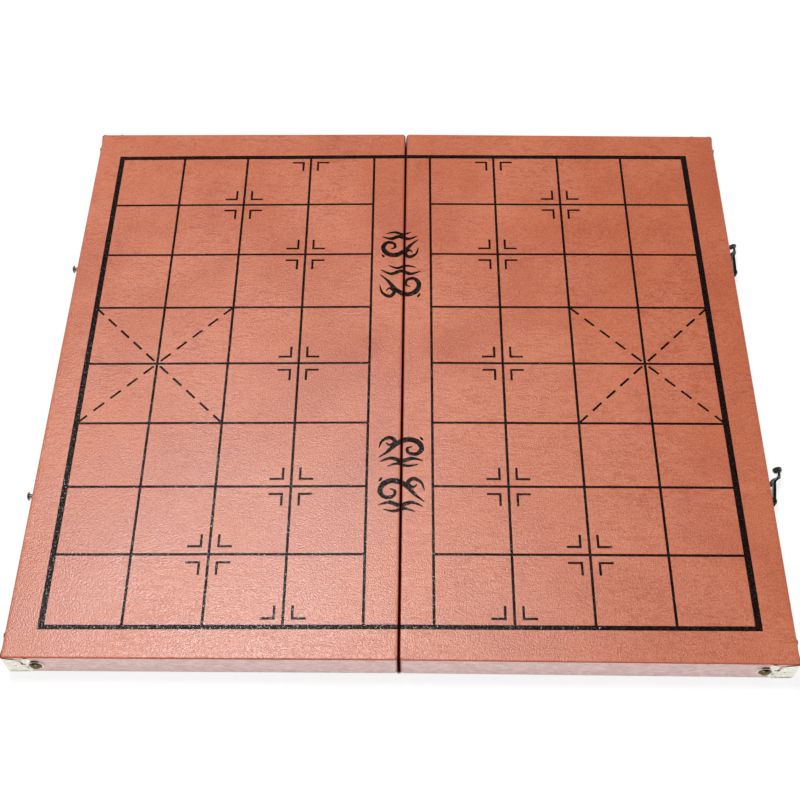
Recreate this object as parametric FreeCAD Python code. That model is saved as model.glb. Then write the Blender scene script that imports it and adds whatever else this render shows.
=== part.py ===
# Folding board box for a traditional board game.
#
# Two shallow wooden trays, each covered in leather, are joined along one edge by a full-length
# piano hinge. Open, they lie with their hollows down and make one playing surface. Folded, their
# rims meet, the playing surface is outside, and the hollows hold the playing pieces.
# Two swing hooks on the right end wall then close over two catch studs on the left one.
#
# Frame: millimetres, X across the board, Y from its front to its back, Z up. The origin is on
# the table, below the middle of the hinge.
#
# Each half is drawn flat first: X is the distance from the hinge axis, Z the height over the
# plane of the rim, and the hinge axis lies in that plane. The knuckles of the hinge stand below
# the rim, so the open board stands on them and on its two end rims, like a very low tent.

import math
import os

import FreeCAD
import Part

V = FreeCAD.Vector
AXIS_X = V(1, 0, 0)
AXIS_Y = V(0, 1, 0)
AXIS_Z = V(0, 0, 1)
ORIGIN = V(0, 0, 0)

# One half of the board, over its leather, and half of the slit between the two.
half_width = 238.75
board_depth = 438.0
half_height = 21.0
slit_half = 0.25

# Wood, leather and lining.
leather = 0.8
panel_thickness = 3.0
rail_width = 9.0
wood_corner_radius = 0.8
wood_slit_corner_radius = 1.8
top_edge_radius = 1.0
lining_thickness = 0.8
lining_setback = 0.3
mitre_gap = 0.2

# Piano hinge.
pin_radius = 0.84
pin_clearance = 0.06
leaf_thickness = 0.7
leaf_height = 10.0
leaf_end_setback = 2.4
knuckle_count = 24
knuckle_gap = 0.3
knuckle_end_setback = 0.2
pin_end_setback = 0.5
knuckle_relief = 0.4
window_gap = 0.1

# Countersunk screws of the hinge.
leaf_screw_count = 7
leaf_screw_pitch = 64.0
screw_head_radius = 2.0
screw_shank_radius = 0.9
screw_cone_height = 1.1
screw_length = 7.5
screw_height = 6.1
recess_width = 0.5
recess_length = 2.0
recess_depth = 0.5

# Stamped corner guards. Lengths along a flange run from the corner of the board, and drops run
# down from the guard's top edge.
guard_thickness = 0.6
guard_bottom = 0.5
guard_top_setback = 0.8
guard_foot_length = 13.4
guard_foot_bulge = 0.3
eyelet_distance = 19.4
eyelet_drop = 9.2
eyelet_radius = 5.0
eyelet_rim_width = 0.7
eyelet_rim_height = 0.5
eyelet_foot_angle = -115.0
eyelet_crest_angle = 118.0
crest_fillet = 0.7
crest_root_drop = 2.4
crest_drop = 0.1
crest_reach = 2.4
crest_end_drop = 3.3
scroll_slot_end = 13.3
scroll_slot_drop = 8.1
scroll_slot_radius = 0.6
scroll_slot_length = 1.3
leaf_tip_inset = 2.7
leaf_hollow_drop = 3.1
leaf_hollow_inset = 4.4
leaf_edge_drop = 1.4
leaf_edge_inset = 7.3
pinhole_radius = 0.7
pinhole_distance = 13.8
pinhole_drop = 13.7

# Domed nails of the guards.
dome_radius = 4.1
dome_height = 2.4
nail_shank_radius = 1.0
nail_length = 8.0

# Catch studs on the left end wall, and the place of the hooks on the right one.
catch_spacing = 193.6
catch_offset = -3.4
catch_height = 6.5
stud_base_radius = 3.4
stud_base_height = 0.6
stud_cove = 1.0
stud_neck_radius = 1.5
stud_head_radius = 3.0
stud_head_start = 6.5
stud_head_edge = 0.3
stud_length = 8.1
stud_shank_radius = 1.2
stud_shank_length = 8.0

# Swing hooks.
closing_gap = 0.3
ferrule_radius = 2.3
ferrule_height = 3.9
ferrule_sunk = 0.5
arm_play = 0.1
arm_thickness = 1.8
arm_bore_clearance = 0.05
hook_nail_radius = 1.25
hook_nail_head_radius = 2.6
hook_nail_head_height = 1.3
hook_eye_radius = 3.4
mouth_clearance = 0.4
arm_back_height = 4.9
arm_back_crown = 0.4
arm_belly_rise = 0.75
tail_drop = 1.4
finger_depth = 3.2
finger_width = 1.9
finger_round = 0.5
mouth_lip_depth = 1.3
mouth_lip_round = 0.8
mouth_lip_length = 2.2
stem_thickness = 1.8
stem_start = 4.0
stem_end_gap = 0.7
curl_distance = 28.0
curl_height = 1.0
curl_radius = 3.0
curl_hole_radius = 0.8
curl_slit = 0.45
tail_sweep_start = 17.0
tail_sweep_radius = 43.8
tail_taper = 0.3
hook_rest_drop = 9.0
front_hook_splay = 9.0
back_hook_splay = 3.0

# What follows from the sizes above.
bore_radius = pin_radius + pin_clearance
knuckle_radius = bore_radius + leaf_thickness
relief_radius = knuckle_radius + knuckle_relief
outer_x = slit_half + half_width
half_depth = board_depth / 2
wood_inner_x = slit_half + leather
leaf_face_x = wood_inner_x - leaf_thickness
wood_outer_x = outer_x - leather
wood_half_depth = half_depth - leather
wood_bottom = leather
wood_top = half_height - leather
rail_top = wood_top - panel_thickness
corner_radius = wood_corner_radius + leather
slit_corner_radius = wood_slit_corner_radius + leather
tent_angle = math.degrees(math.asin(knuckle_radius / outer_x))
leaf_half_length = half_depth - leaf_end_setback
guard_top = half_height - guard_top_setback
eyelet_height = guard_top - eyelet_drop
catch_places = {
    "front": catch_offset - catch_spacing / 2,
    "back": catch_offset + catch_spacing / 2,
}
hook_splays = {"front": front_hook_splay, "back": back_hook_splay}


def box(x0, x1, y0, y1, z0, z1):
    """A block between two values on each axis."""
    return Part.makeBox(x1 - x0, y1 - y0, z1 - z0, V(x0, y0, z0))


def outline(start, steps, place):
    """A face inside a line of straight steps (end) and arcs (middle, end), closed at the start."""
    edges = []
    here = start
    for step in steps:
        end = step[-1]
        if len(step) == 1:
            edges.append(Part.makeLine(place(*here), place(*end)))
        else:
            edges.append(Part.Arc(place(*here), place(*step[0]), place(*end)).toShape())
        here = end
    if (place(*here) - place(*start)).Length > 1e-6:
        edges.append(Part.makeLine(place(*here), place(*start)))
    return Part.Face(Part.Wire(edges))


def turned(start, steps):
    """A piece turned about the X axis, from half of its section given as (x, radius)."""
    section = outline(start, steps, lambda x, radius: V(x, radius, 0))
    return section.revolve(ORIGIN, AXIS_X, 360)


def cap(start, radius, height):
    """The step of a section that closes it with a ball-shaped cap, as (middle, end)."""
    ball = (radius**2 + height**2) / (2 * height)
    half_angle = math.asin(radius / ball) / 2
    middle = (start + height - ball * (1 - math.cos(half_angle)), ball * math.sin(half_angle))
    return (middle, (start + height, 0))


def cove(start, radius, hollow):
    """The step of a section that draws it in with a hollow quarter round, as (middle, end)."""
    reach = hollow * (1 - math.sqrt(0.5))
    middle = (start + reach, radius - hollow + reach)
    return (middle, (start + hollow, radius - hollow))


def rounded_block(x0, x1, y0, y1, z0, z1, slit_radius, radius):
    """A block whose upright edges are rounded, more at the slit than at its other end."""
    slit_diagonal = slit_radius * (1 - math.sqrt(0.5))
    diagonal = radius * (1 - math.sqrt(0.5))
    section = outline(
        (x0 + slit_radius, y0),
        [
            ((x1 - radius, y0),),
            ((x1 - diagonal, y0 + diagonal), (x1, y0 + radius)),
            ((x1, y1 - radius),),
            ((x1 - diagonal, y1 - diagonal), (x1 - radius, y1)),
            ((x0 + slit_radius, y1),),
            ((x0 + slit_diagonal, y1 - slit_diagonal), (x0, y1 - slit_radius)),
            ((x0, y0 + slit_radius),),
            ((x0 + slit_diagonal, y0 + slit_diagonal), (x0 + slit_radius, y0)),
        ],
        lambda x, y: V(x, y, z0),
    )
    return section.extrude(V(0, 0, z1 - z0))


def along_y(radius, y0, y1):
    """A round bar on the hinge axis."""
    return Part.makeCylinder(radius, y1 - y0, V(0, y0, 0), AXIS_Y)


def middle(a, b):
    """The value half way between two others."""
    return (a + b) / 2


def moved(shape, direction_angle, x, y, z):
    """A copy of a piece drawn along +X, turned about Z and set at a point."""
    copy = shape.copy()
    copy.rotate(ORIGIN, AXIS_Z, direction_angle)
    copy.translate(V(x, y, z))
    return copy


def mirror_y(shape):
    """The same piece at the back of the board."""
    return shape.mirror(ORIGIN, AXIS_Y)


def wood_block():
    """The space that the panel and the four rails fill together."""
    return rounded_block(
        wood_inner_x,
        wood_outer_x,
        -wood_half_depth,
        wood_half_depth,
        wood_bottom,
        wood_top,
        wood_slit_corner_radius,
        wood_corner_radius,
    )


def knuckle_groove():
    """The room that the rim leaves for the knuckles of the hinge."""
    return along_y(relief_radius, -board_depth, board_depth)


def playing_panel():
    """The thin board under the playing surface, glued on top of the rails."""
    return wood_block().common(box(0, outer_x, -half_depth, half_depth, rail_top, half_height))


def spine_rail(holes):
    """The rail along the hinge, which carries its leaf."""
    span = box(0, wood_inner_x + rail_width, -half_depth, half_depth, 0, rail_top)
    return wood_block().common(span).cut([knuckle_groove()] + holes)


def outer_rail(holes):
    """The rail of the end wall, which carries the catches."""
    span = box(wood_outer_x - rail_width, outer_x, -half_depth, half_depth, 0, rail_top)
    return wood_block().common(span).cut(holes)


def front_rail(holes):
    """The rail of a side wall, let in between the spine rail and the outer rail."""
    rail = box(
        wood_inner_x + rail_width,
        wood_outer_x - rail_width,
        -wood_half_depth,
        -wood_half_depth + rail_width,
        wood_bottom,
        rail_top,
    )
    return rail.cut(holes)


def leather_cover(holes):
    """The leather over the top and down the four walls, cut away for the hinge leaf."""
    outside = rounded_block(
        slit_half,
        outer_x,
        -half_depth,
        half_depth,
        0,
        half_height,
        slit_corner_radius,
        corner_radius,
    )
    top_edges = [e for e in outside.Edges if e.BoundBox.ZMin > half_height - 0.001]
    outside = outside.makeFillet(top_edge_radius, top_edges)
    inside = rounded_block(
        wood_inner_x,
        wood_outer_x,
        -wood_half_depth,
        wood_half_depth,
        -half_height,
        wood_top,
        wood_slit_corner_radius,
        wood_corner_radius,
    )
    window_half = leaf_half_length + window_gap
    window = box(
        0, wood_inner_x, -window_half, window_half, -half_height, leaf_height + window_gap
    )
    return outside.cut([inside, window, knuckle_groove()] + holes)


def rim_hem():
    """The turned-in edge of the leather under the rim: four strips cut on the mitre."""
    x0 = wood_inner_x
    x1 = wood_outer_x
    y1 = wood_half_depth
    across = rail_width
    ring = rounded_block(
        x0, x1, -y1, y1, 0, leather, wood_slit_corner_radius, wood_corner_radius
    )
    ring = ring.cut(box(x0 + across, x1 - across, -y1 + across, y1 - across, -1, leather + 1))
    ring = ring.cut(knuckle_groove())
    cuts = []
    for x, step_x in ((x0, 1), (x1, -1)):
        for y, step_y in ((-y1, 1), (y1, -1)):
            shift = mitre_gap / math.sqrt(2)
            corner = outline(
                (x - step_x * shift - step_x, y - step_y),
                [
                    ((x + step_x * (across + 1) - step_x * shift, y + step_y * (across + 1)),),
                    ((x + step_x * (across + 1), y + step_y * (across + 1) - step_y * shift),),
                    ((x - step_x, y - step_y - step_y * shift),),
                ],
                lambda px, py: V(px, py, -1),
            )
            cuts.append(corner.extrude(V(0, 0, leather + 2)))
    return ring.cut(cuts)


def lining():
    """The flocked lining of the hollow: a thin tray upside down."""
    x0 = wood_inner_x + rail_width
    x1 = wood_outer_x - rail_width
    y1 = wood_half_depth - rail_width
    z0 = wood_bottom + lining_setback
    t = lining_thickness
    tray = box(x0, x1, -y1, y1, z0, rail_top)
    return tray.cut(box(x0 + t, x1 - t, -y1 + t, y1 - t, 0, rail_top - t))


def knuckle_stations(first):
    """The stretches of the hinge axis that belong to one leaf, every other one."""
    length = board_depth - 2 * knuckle_end_setback
    pitch = length / knuckle_count
    stations = []
    for i in range(first, knuckle_count, 2):
        start = -length / 2 + i * pitch
        stations.append((start + knuckle_gap / 2, start + pitch - knuckle_gap / 2))
    return stations


def hinge_leaf(first, screws):
    """One leaf of the piano hinge, with its knuckles rolled about the hinge axis. The leaf is
    set in from the side of the knuckles, so that the slit over it stays narrow."""
    strip_bottom = relief_radius
    leaf = box(
        leaf_face_x,
        wood_inner_x,
        -leaf_half_length,
        leaf_half_length,
        strip_bottom,
        leaf_height,
    )
    face_meet = math.sqrt(knuckle_radius**2 - leaf_face_x**2)
    back_meet = math.sqrt(knuckle_radius**2 - wood_inner_x**2)
    below = (math.atan2(back_meet, wood_inner_x) - math.pi / 2) / 2
    pieces = []
    for y0, y1 in knuckle_stations(first):
        inner_y0 = max(y0, -leaf_half_length)
        inner_y1 = min(y1, leaf_half_length)
        section = outline(
            (wood_inner_x, strip_bottom),
            [
                ((wood_inner_x, back_meet),),
                (
                    (knuckle_radius * math.cos(below), knuckle_radius * math.sin(below)),
                    (0, -knuckle_radius),
                ),
                ((-knuckle_radius, 0), (leaf_face_x, face_meet)),
                ((leaf_face_x, strip_bottom),),
            ],
            lambda x, z: V(x, inner_y0, z),
        )
        pieces.append(section.extrude(V(0, inner_y1 - inner_y0, 0)))
        if y0 < -leaf_half_length:
            pieces.append(along_y(knuckle_radius, y0, -leaf_half_length))
        if y1 > leaf_half_length:
            pieces.append(along_y(knuckle_radius, leaf_half_length, y1))
    leaf = leaf.fuse(pieces).removeSplitter()
    return leaf.cut([along_y(bore_radius, -board_depth, board_depth)] + screws)


def hinge_pin():
    """The wire through all knuckles."""
    half_length = half_depth - knuckle_end_setback - pin_end_setback
    return along_y(pin_radius, -half_length, half_length)


def screw_body():
    """A countersunk screw without its recess, drawn from the face of its head along +X."""
    point = 2 * screw_shank_radius
    return turned(
        (0, 0),
        [
            ((0, screw_head_radius),),
            ((screw_cone_height, screw_shank_radius),),
            ((screw_length - point, screw_shank_radius),),
            ((screw_length, 0),),
        ],
    )


def at_screw_places(piece):
    """Copies of a piece at the screw places of one leaf, from the face of the leaf inwards."""
    first_y = -(leaf_screw_count - 1) / 2 * leaf_screw_pitch
    return [
        moved(piece, 0, leaf_face_x, first_y + i * leaf_screw_pitch, screw_height)
        for i in range(leaf_screw_count)
    ]


def cross_recess():
    """The cross in the head of a screw."""
    wide = recess_width / 2
    long = recess_length / 2
    bar = box(0, recess_depth, -wide, wide, -long, long)
    return bar.fuse(box(0, recess_depth, -long, long, -wide, wide)).removeSplitter()


def guard_flange(place, outward):
    """One flange of a corner guard: a leaf, a scroll slot, a crest, a pinhole and an eyelet."""
    def on_eyelet(degrees):
        angle = math.radians(degrees)
        return (
            eyelet_distance + eyelet_radius * math.cos(angle),
            eyelet_height + eyelet_radius * math.sin(angle),
        )

    foot = on_eyelet(eyelet_foot_angle)
    foot_middle = (
        middle(guard_foot_length, foot[0]) + guard_foot_bulge,
        middle(guard_bottom, foot[1]) - guard_foot_bulge,
    )
    crest_root = on_eyelet(eyelet_crest_angle)
    crest_start = (crest_root[0] + crest_fillet, guard_top - crest_root_drop)
    slot_mouth = scroll_slot_end - scroll_slot_length
    slot_height = guard_top - scroll_slot_drop
    slot_top = slot_height + scroll_slot_radius
    slot_bottom = slot_height - scroll_slot_radius
    leaf_tip = scroll_slot_end - leaf_tip_inset
    plate = outline(
        (corner_radius, guard_bottom),
        [
            ((guard_foot_length, guard_bottom),),
            (foot_middle, foot),
            (on_eyelet(0), crest_root),
            (crest_start,),
            (
                (scroll_slot_end + crest_reach, guard_top - crest_drop),
                (slot_mouth, guard_top - crest_end_drop),
            ),
            ((slot_mouth, slot_top),),
            ((scroll_slot_end, slot_top),),
            (
                (scroll_slot_end + scroll_slot_radius, slot_height),
                (scroll_slot_end, slot_bottom),
            ),
            ((leaf_tip, slot_bottom),),
            (
                (scroll_slot_end - leaf_hollow_inset, guard_top - leaf_hollow_drop),
                (scroll_slot_end - leaf_edge_inset, guard_top - leaf_edge_drop),
            ),
            ((corner_radius, guard_top),),
        ],
        place,
    ).extrude(outward * guard_thickness)
    centre = place(eyelet_distance, eyelet_height)
    rim_depth = guard_thickness + eyelet_rim_height
    rim = Part.makeCylinder(eyelet_radius, rim_depth, centre, outward)
    rim = rim.cut(
        Part.makeCylinder(eyelet_radius - eyelet_rim_width, rim_depth, centre, outward)
    )
    through = 3 * guard_thickness
    pinhole_centre = place(pinhole_distance, guard_top - pinhole_drop)
    holes = [
        Part.makeCylinder(pinhole_radius, through, pinhole_centre - outward, outward),
        Part.makeCylinder(nail_shank_radius, through, centre - outward, outward),
    ]
    return plate.fuse(rim).cut(holes)


def front_place(u, z):
    """A point on the front wall, by its distance from the outer corner and its height."""
    return V(outer_x - u, -half_depth, z)


def end_place(u, z):
    """A point on the end wall, by its distance from the outer corner and its height."""
    return V(outer_x, -half_depth + u, z)


def corner_guard():
    """The stamped guard of the front outer corner: two flanges and the bend between them."""
    inner = corner_radius
    outer = corner_radius + guard_thickness
    centre_x = outer_x - corner_radius
    centre_y = -half_depth + corner_radius
    diagonal = math.sqrt(0.5)
    bend = outline(
        (centre_x, centre_y - inner),
        [
            ((centre_x, centre_y - outer),),
            (
                (centre_x + outer * diagonal, centre_y - outer * diagonal),
                (centre_x + outer, centre_y),
            ),
            ((centre_x + inner, centre_y),),
            (
                (centre_x + inner * diagonal, centre_y - inner * diagonal),
                (centre_x, centre_y - inner),
            ),
        ],
        lambda x, y: V(x, y, guard_bottom),
    ).extrude(V(0, 0, guard_top - guard_bottom))
    front = guard_flange(front_place, V(0, -1, 0))
    end = guard_flange(end_place, V(1, 0, 0))
    return bend.fuse([front, end]).removeSplitter()


def dome_nail():
    """A nail with a wide domed head, drawn from the back of the head along +X."""
    return turned(
        (-nail_length, 0),
        [
            ((-nail_length + 2 * nail_shank_radius, nail_shank_radius),),
            ((0, nail_shank_radius),),
            ((0, dome_radius),),
            cap(0, dome_radius, dome_height),
        ],
    )


def corner_nails():
    """The two domed nails of the front outer corner."""
    nail = dome_nail()
    front = front_place(eyelet_distance, eyelet_height)
    end = end_place(eyelet_distance, eyelet_height)
    return [
        moved(nail, -90, front.x, front.y - guard_thickness, front.z),
        moved(nail, 0, end.x + guard_thickness, end.y, end.z),
    ]


def catch_stud(y):
    """A turned stud with a neck for the hook and a mushroom head."""
    cove_rim = stud_neck_radius + stud_cove
    cap_start = stud_head_start + stud_head_edge
    stud = turned(
        (-stud_shank_length, 0),
        [
            ((-stud_shank_length + 2 * stud_shank_radius, stud_shank_radius),),
            ((0, stud_shank_radius),),
            ((0, stud_base_radius),),
            ((stud_base_height, stud_base_radius),),
            ((stud_base_height, cove_rim),),
            cove(stud_base_height, cove_rim, stud_cove),
            ((stud_head_start, stud_neck_radius),),
            ((stud_head_start, stud_head_radius - stud_head_edge),),
            ((cap_start, stud_head_radius),),
            cap(cap_start, stud_head_radius, stud_length - cap_start),
        ],
    )
    return moved(stud, 0, outer_x, y, catch_height)


def set_on_wall(shape, side):
    """Sets a piece of a hook on the end wall. It splays about the middle of the arm, so that
    the hook still meets its stud."""
    arm_middle = V(ferrule_height + arm_play + arm_thickness / 2, 0, 0)
    splayed = shape.copy()
    splayed.rotate(arm_middle, AXIS_Z, -hook_splays[side])
    splayed.translate(V(outer_x, catch_places[side], catch_height))
    return splayed


def hook_nail(side):
    """The domed nail that the hook turns on."""
    head_start = ferrule_height + 2 * arm_play + arm_thickness
    nail = turned(
        (-stud_shank_length, 0),
        [
            ((-stud_shank_length + 2 * hook_nail_radius, hook_nail_radius),),
            ((head_start, hook_nail_radius),),
            ((head_start, hook_nail_head_radius),),
            cap(head_start, hook_nail_head_radius, hook_nail_head_height),
        ],
    )
    return set_on_wall(nail, side)


def hook_ferrule(side):
    """The turned collar that holds the hook off the wall. Its foot is cut flush with the wall."""
    splay = math.radians(hook_splays[side])
    foot = -stud_base_radius * math.tan(splay) - ferrule_sunk
    collar = turned(
        (foot, hook_nail_radius),
        [
            ((foot, stud_base_radius),),
            ((stud_base_height, stud_base_radius),),
            cove(stud_base_height, stud_base_radius, stud_base_radius - ferrule_radius),
            ((ferrule_height, ferrule_radius),),
            ((ferrule_height, hook_nail_radius),),
        ],
    )
    wall = box(0, outer_x, -board_depth, board_depth, -half_height, half_height)
    return set_on_wall(collar, side).cut(wall)


def hook_outline(place):
    """The hook seen from its side: eye, body, mouth, finger, stem and curl."""
    seat = 2 * catch_height + closing_gap
    mouth = stud_neck_radius + mouth_clearance
    far_wall = seat + mouth
    near_wall = seat - mouth
    back_end = arm_back_height - tail_drop
    stem_under = back_end - stem_thickness
    stem_root = (far_wall + stem_start, arm_back_height - 2 * arm_back_crown - stem_thickness)
    stem_end = (curl_distance - curl_radius - stem_end_gap, stem_under + arm_back_crown / 2)
    finger_start = far_wall - arm_back_crown + finger_width
    lip_end = near_wall - mouth_lip_length

    def swung(radius, height):
        """A point of the mouth's walls, which are arcs about the pivot of the hook."""
        return (math.sqrt(radius**2 - height**2), height)

    def on_curl(degrees):
        angle = math.radians(degrees)
        return (
            curl_distance + curl_radius * math.cos(angle),
            curl_height + curl_radius * math.sin(angle),
        )

    return outline(
        (0, hook_eye_radius),
        [
            ((seat / 2, arm_back_height - arm_back_crown), (seat, arm_back_height)),
            (
                (far_wall + stem_start, arm_back_height - arm_back_crown),
                (curl_distance - curl_radius, back_end),
            ),
            ((curl_distance - curl_radius / 2, back_end + arm_back_crown / 2), on_curl(100)),
            (on_curl(5), on_curl(-90)),
            (on_curl(-140), on_curl(-190)),
            (stem_end,),
            ((middle(stem_root[0], stem_end[0]), stem_root[1] + arm_back_crown / 2), stem_root),
            (
                (stem_root[0] - 2 * arm_back_crown, -1.5 * arm_back_crown),
                (finger_start, -finger_depth),
            ),
            (
                (middle(finger_start, far_wall), -finger_depth - finger_round),
                swung(far_wall, -finger_depth),
            ),
            (swung(far_wall, -finger_depth / 2), (far_wall, 0)),
            ((seat, mouth), (near_wall, 0)),
            (swung(near_wall, -mouth_lip_depth / 2), swung(near_wall, -mouth_lip_depth)),
            (
                (near_wall - mouth_lip_round, -mouth_lip_depth - mouth_lip_round),
                (lip_end, -mouth_lip_depth - mouth_lip_round),
            ),
            ((lip_end / 2, -hook_eye_radius + arm_belly_rise), (0, -hook_eye_radius)),
            ((-hook_eye_radius, 0), (0, hook_eye_radius)),
        ],
        place,
    )


def hook_arm(side):
    """The cast hook: the outline above, swept away from the wall towards its tail."""
    inner = ferrule_height + arm_play
    outer = inner + arm_thickness
    start = tail_sweep_start
    end = curl_distance + curl_radius + arm_play
    half_way = middle(start, end)
    far = hook_eye_radius + arm_thickness
    tall = 2 * hook_eye_radius

    def sweep(u):
        return (u - start) ** 2 / (2 * tail_sweep_radius)

    tail_outer = outer + sweep(end) - tail_taper
    plate = hook_outline(lambda u, v: V(0, u, v)).extrude(V(tail_outer + arm_thickness, 0, 0))
    side_shape = outline(
        (-far, inner),
        [
            ((start, inner),),
            ((half_way, inner + sweep(half_way)), (end, inner + sweep(end))),
            ((end, tail_outer),),
            ((half_way, outer + sweep(half_way) - tail_taper / 4), (start, outer)),
            ((-far, outer),),
        ],
        lambda u, w: V(w, u, -tall),
    ).extrude(V(0, 0, 2 * tall))
    arm = plate.common(side_shape)
    bore = Part.makeCylinder(hook_nail_radius + arm_bore_clearance, 2 * outer, ORIGIN, AXIS_X)
    curl_centre = V(0, curl_distance, curl_height)
    curl_hole = Part.makeCylinder(curl_hole_radius, 2 * tail_outer, curl_centre, AXIS_X)
    arm = arm.cut([bore, curl_hole, curl_gap(2 * tail_outer)])
    arm.rotate(ORIGIN, AXIS_X, -hook_rest_drop)
    return set_on_wall(arm, side)


def curl_gap(length):
    """The narrow gap between the turns of the curl, from under the stem into its hole."""
    mean = middle(curl_radius, curl_hole_radius) + curl_slit / 4
    outer = mean + curl_slit / 2
    inner = mean - curl_slit / 2
    beyond = curl_radius + 2 * curl_slit
    core = curl_hole_radius / 2

    def at(radius, degrees):
        angle = math.radians(degrees)
        return (
            curl_distance + radius * math.cos(angle),
            curl_height + radius * math.sin(angle),
        )

    def through(start, steps):
        return outline(start, steps, lambda u, v: V(0, u, v)).extrude(V(length, 0, 0))

    band = through(
        at(outer, 168),
        [
            (at(outer, 100), at(outer, 30)),
            (at(inner, 30),),
            (at(inner, 100), at(inner, 168)),
        ],
    )
    mouth = through(at(inner, 160), [(at(inner, 172),), (at(beyond, 176),), (at(beyond, 168),)])
    inlet = through(at(outer, 30), [(at(outer, 20),), (at(core, 20),), (at(core, 40),)])
    return band.fuse([mouth, inlet])


def stand(shape, side):
    """Sets a finished piece of the flat right half on the table, in the half that it is for."""
    turn = tent_angle
    if side == "left":
        shape = shape.mirror(ORIGIN, AXIS_X)
        turn = -tent_angle
    shape.rotate(ORIGIN, AXIS_Y, turn)
    shape.translate(V(0, 0, knuckle_radius))
    return shape


def half_pieces(side):
    """Every piece of one half, drawn as the right half lies flat."""
    nails = corner_nails()
    back_nails = [mirror_y(n) for n in nails]
    holes = at_screw_places(screw_body())
    screws = at_screw_places(screw_body().cut(cross_recess()))
    catches = {}
    fixings = []
    for place, y in catch_places.items():
        if side == "left":
            stud = catch_stud(y)
            catches[f"{place}_catch_stud"] = stud
            fixings.append(stud)
        else:
            nail = hook_nail(place)
            catches[f"{place}_hook_nail"] = nail
            catches[f"{place}_hook_ferrule"] = hook_ferrule(place)
            catches[f"{place}_hook_arm"] = hook_arm(place)
            fixings.append(nail)
    wall_holes = nails + back_nails + fixings
    front = front_rail(nails)
    first = 0 if side == "left" else 1
    pieces = {
        f"{side}_playing_panel": playing_panel(),
        f"{side}_spine_rail": spine_rail(holes),
        f"{side}_outer_rail": outer_rail(wall_holes),
        f"{side}_front_rail": front,
        f"{side}_back_rail": mirror_y(front),
        f"{side}_leather_cover": leather_cover(wall_holes),
        f"{side}_rim_hem": rim_hem(),
        f"{side}_lining": lining(),
        f"{side}_hinge_leaf": hinge_leaf(first, holes),
        f"{side}_hinge_screws": Part.makeCompound(screws),
        f"{side}_front_corner_guard": corner_guard(),
        f"{side}_back_corner_guard": mirror_y(corner_guard()),
        f"{side}_front_corner_nails": Part.makeCompound(nails),
        f"{side}_back_corner_nails": Part.makeCompound(back_nails),
    }
    pieces.update(catches)
    if side == "left":
        pieces["hinge_pin"] = hinge_pin()
    return pieces


def main():
    os.makedirs("parts", exist_ok=True)
    for side in ("left", "right"):
        for name, shape in half_pieces(side).items():
            piece = stand(shape, side)
            piece.exportStep(f"parts/{name}.step")
            size = piece.BoundBox
            print(
                f"{name}: {len(piece.Solids)} solid(s), valid {piece.isValid()}, "
                f"{size.XLength:.1f} x {size.YLength:.1f} x {size.ZLength:.1f} mm, "
                f"lowest {size.ZMin:.2f}, volume {piece.Volume:.0f}"
            )


main()
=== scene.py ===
# %% [markdown]
# # Dressing a folding board box
#
# The object is a pair of shallow wooden trays covered in salmon leather and joined by a piano
# hinge. It lies open, so the two backs make one playing surface with a printed grid. The packed
# CAD model gives every rigid piece its true place. Here it gets its leather, its print and its
# metals, a plain white room and the camera of the picture.
#
# Everything is in metres in the scene. The real sizes are easier to read in millimetres, so each
# helper takes millimetres and converts at the end.

# %% Load the frame
import math
import random

import bmesh
import bpy
import numpy as np
from mathutils import Matrix, Vector


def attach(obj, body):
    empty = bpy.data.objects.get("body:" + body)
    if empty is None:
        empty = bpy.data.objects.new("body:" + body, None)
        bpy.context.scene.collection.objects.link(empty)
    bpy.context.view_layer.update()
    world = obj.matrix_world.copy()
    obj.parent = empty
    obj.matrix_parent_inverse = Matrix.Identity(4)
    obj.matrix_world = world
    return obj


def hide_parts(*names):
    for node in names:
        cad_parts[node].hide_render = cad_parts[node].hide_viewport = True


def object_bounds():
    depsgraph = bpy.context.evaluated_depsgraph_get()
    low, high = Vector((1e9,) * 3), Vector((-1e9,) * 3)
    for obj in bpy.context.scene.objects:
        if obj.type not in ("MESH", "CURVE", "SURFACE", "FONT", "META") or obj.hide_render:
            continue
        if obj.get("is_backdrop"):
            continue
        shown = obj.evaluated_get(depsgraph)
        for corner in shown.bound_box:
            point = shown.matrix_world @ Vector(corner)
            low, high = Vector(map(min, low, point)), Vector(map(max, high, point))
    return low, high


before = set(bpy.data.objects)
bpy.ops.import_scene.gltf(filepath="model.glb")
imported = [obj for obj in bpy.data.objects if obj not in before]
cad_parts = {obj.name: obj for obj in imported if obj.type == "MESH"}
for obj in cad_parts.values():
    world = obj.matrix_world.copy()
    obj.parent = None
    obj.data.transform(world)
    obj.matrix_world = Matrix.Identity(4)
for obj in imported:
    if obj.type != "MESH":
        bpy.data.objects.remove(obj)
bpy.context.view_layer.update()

# %% [markdown]
# ## The camera
#
# The picture was taken from in front of the board and well above it. A camera is set by its
# place, its turn and its lens. The three were worked out from where the lines of the grid meet,
# because a printed grid has corners that are known in real sizes.

# %% Camera
camera_data = bpy.data.cameras.new("picture_camera")
camera = bpy.data.objects.new("picture_camera", camera_data)
bpy.context.scene.collection.objects.link(camera)
bpy.context.scene.camera = camera
camera.location = (0.010614, -0.513007, 0.740147)
camera.rotation_euler = (math.radians(33.8023), math.radians(0.48346), math.radians(0.72961))
camera_data.sensor_width = 36.0
camera_data.lens = 57.427
camera_data.clip_start = 0.01
camera_data.clip_end = 20.0
bpy.context.scene.view_settings.view_transform = "Standard"
print("camera looks down at", round(90 - 33.8023, 1), "degrees")

# %% [markdown]
# ## Sizes of one half
#
# Each half is easiest to draw lying flat: x is the distance from the hinge axis, y runs from
# front to back and z is the height over the rim. On the table the knuckles of the hinge stand
# below the rim, so each half leans a little, like a very low tent. The function `stand` makes
# that turn, and mirrors the drawing for the left half.

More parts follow.
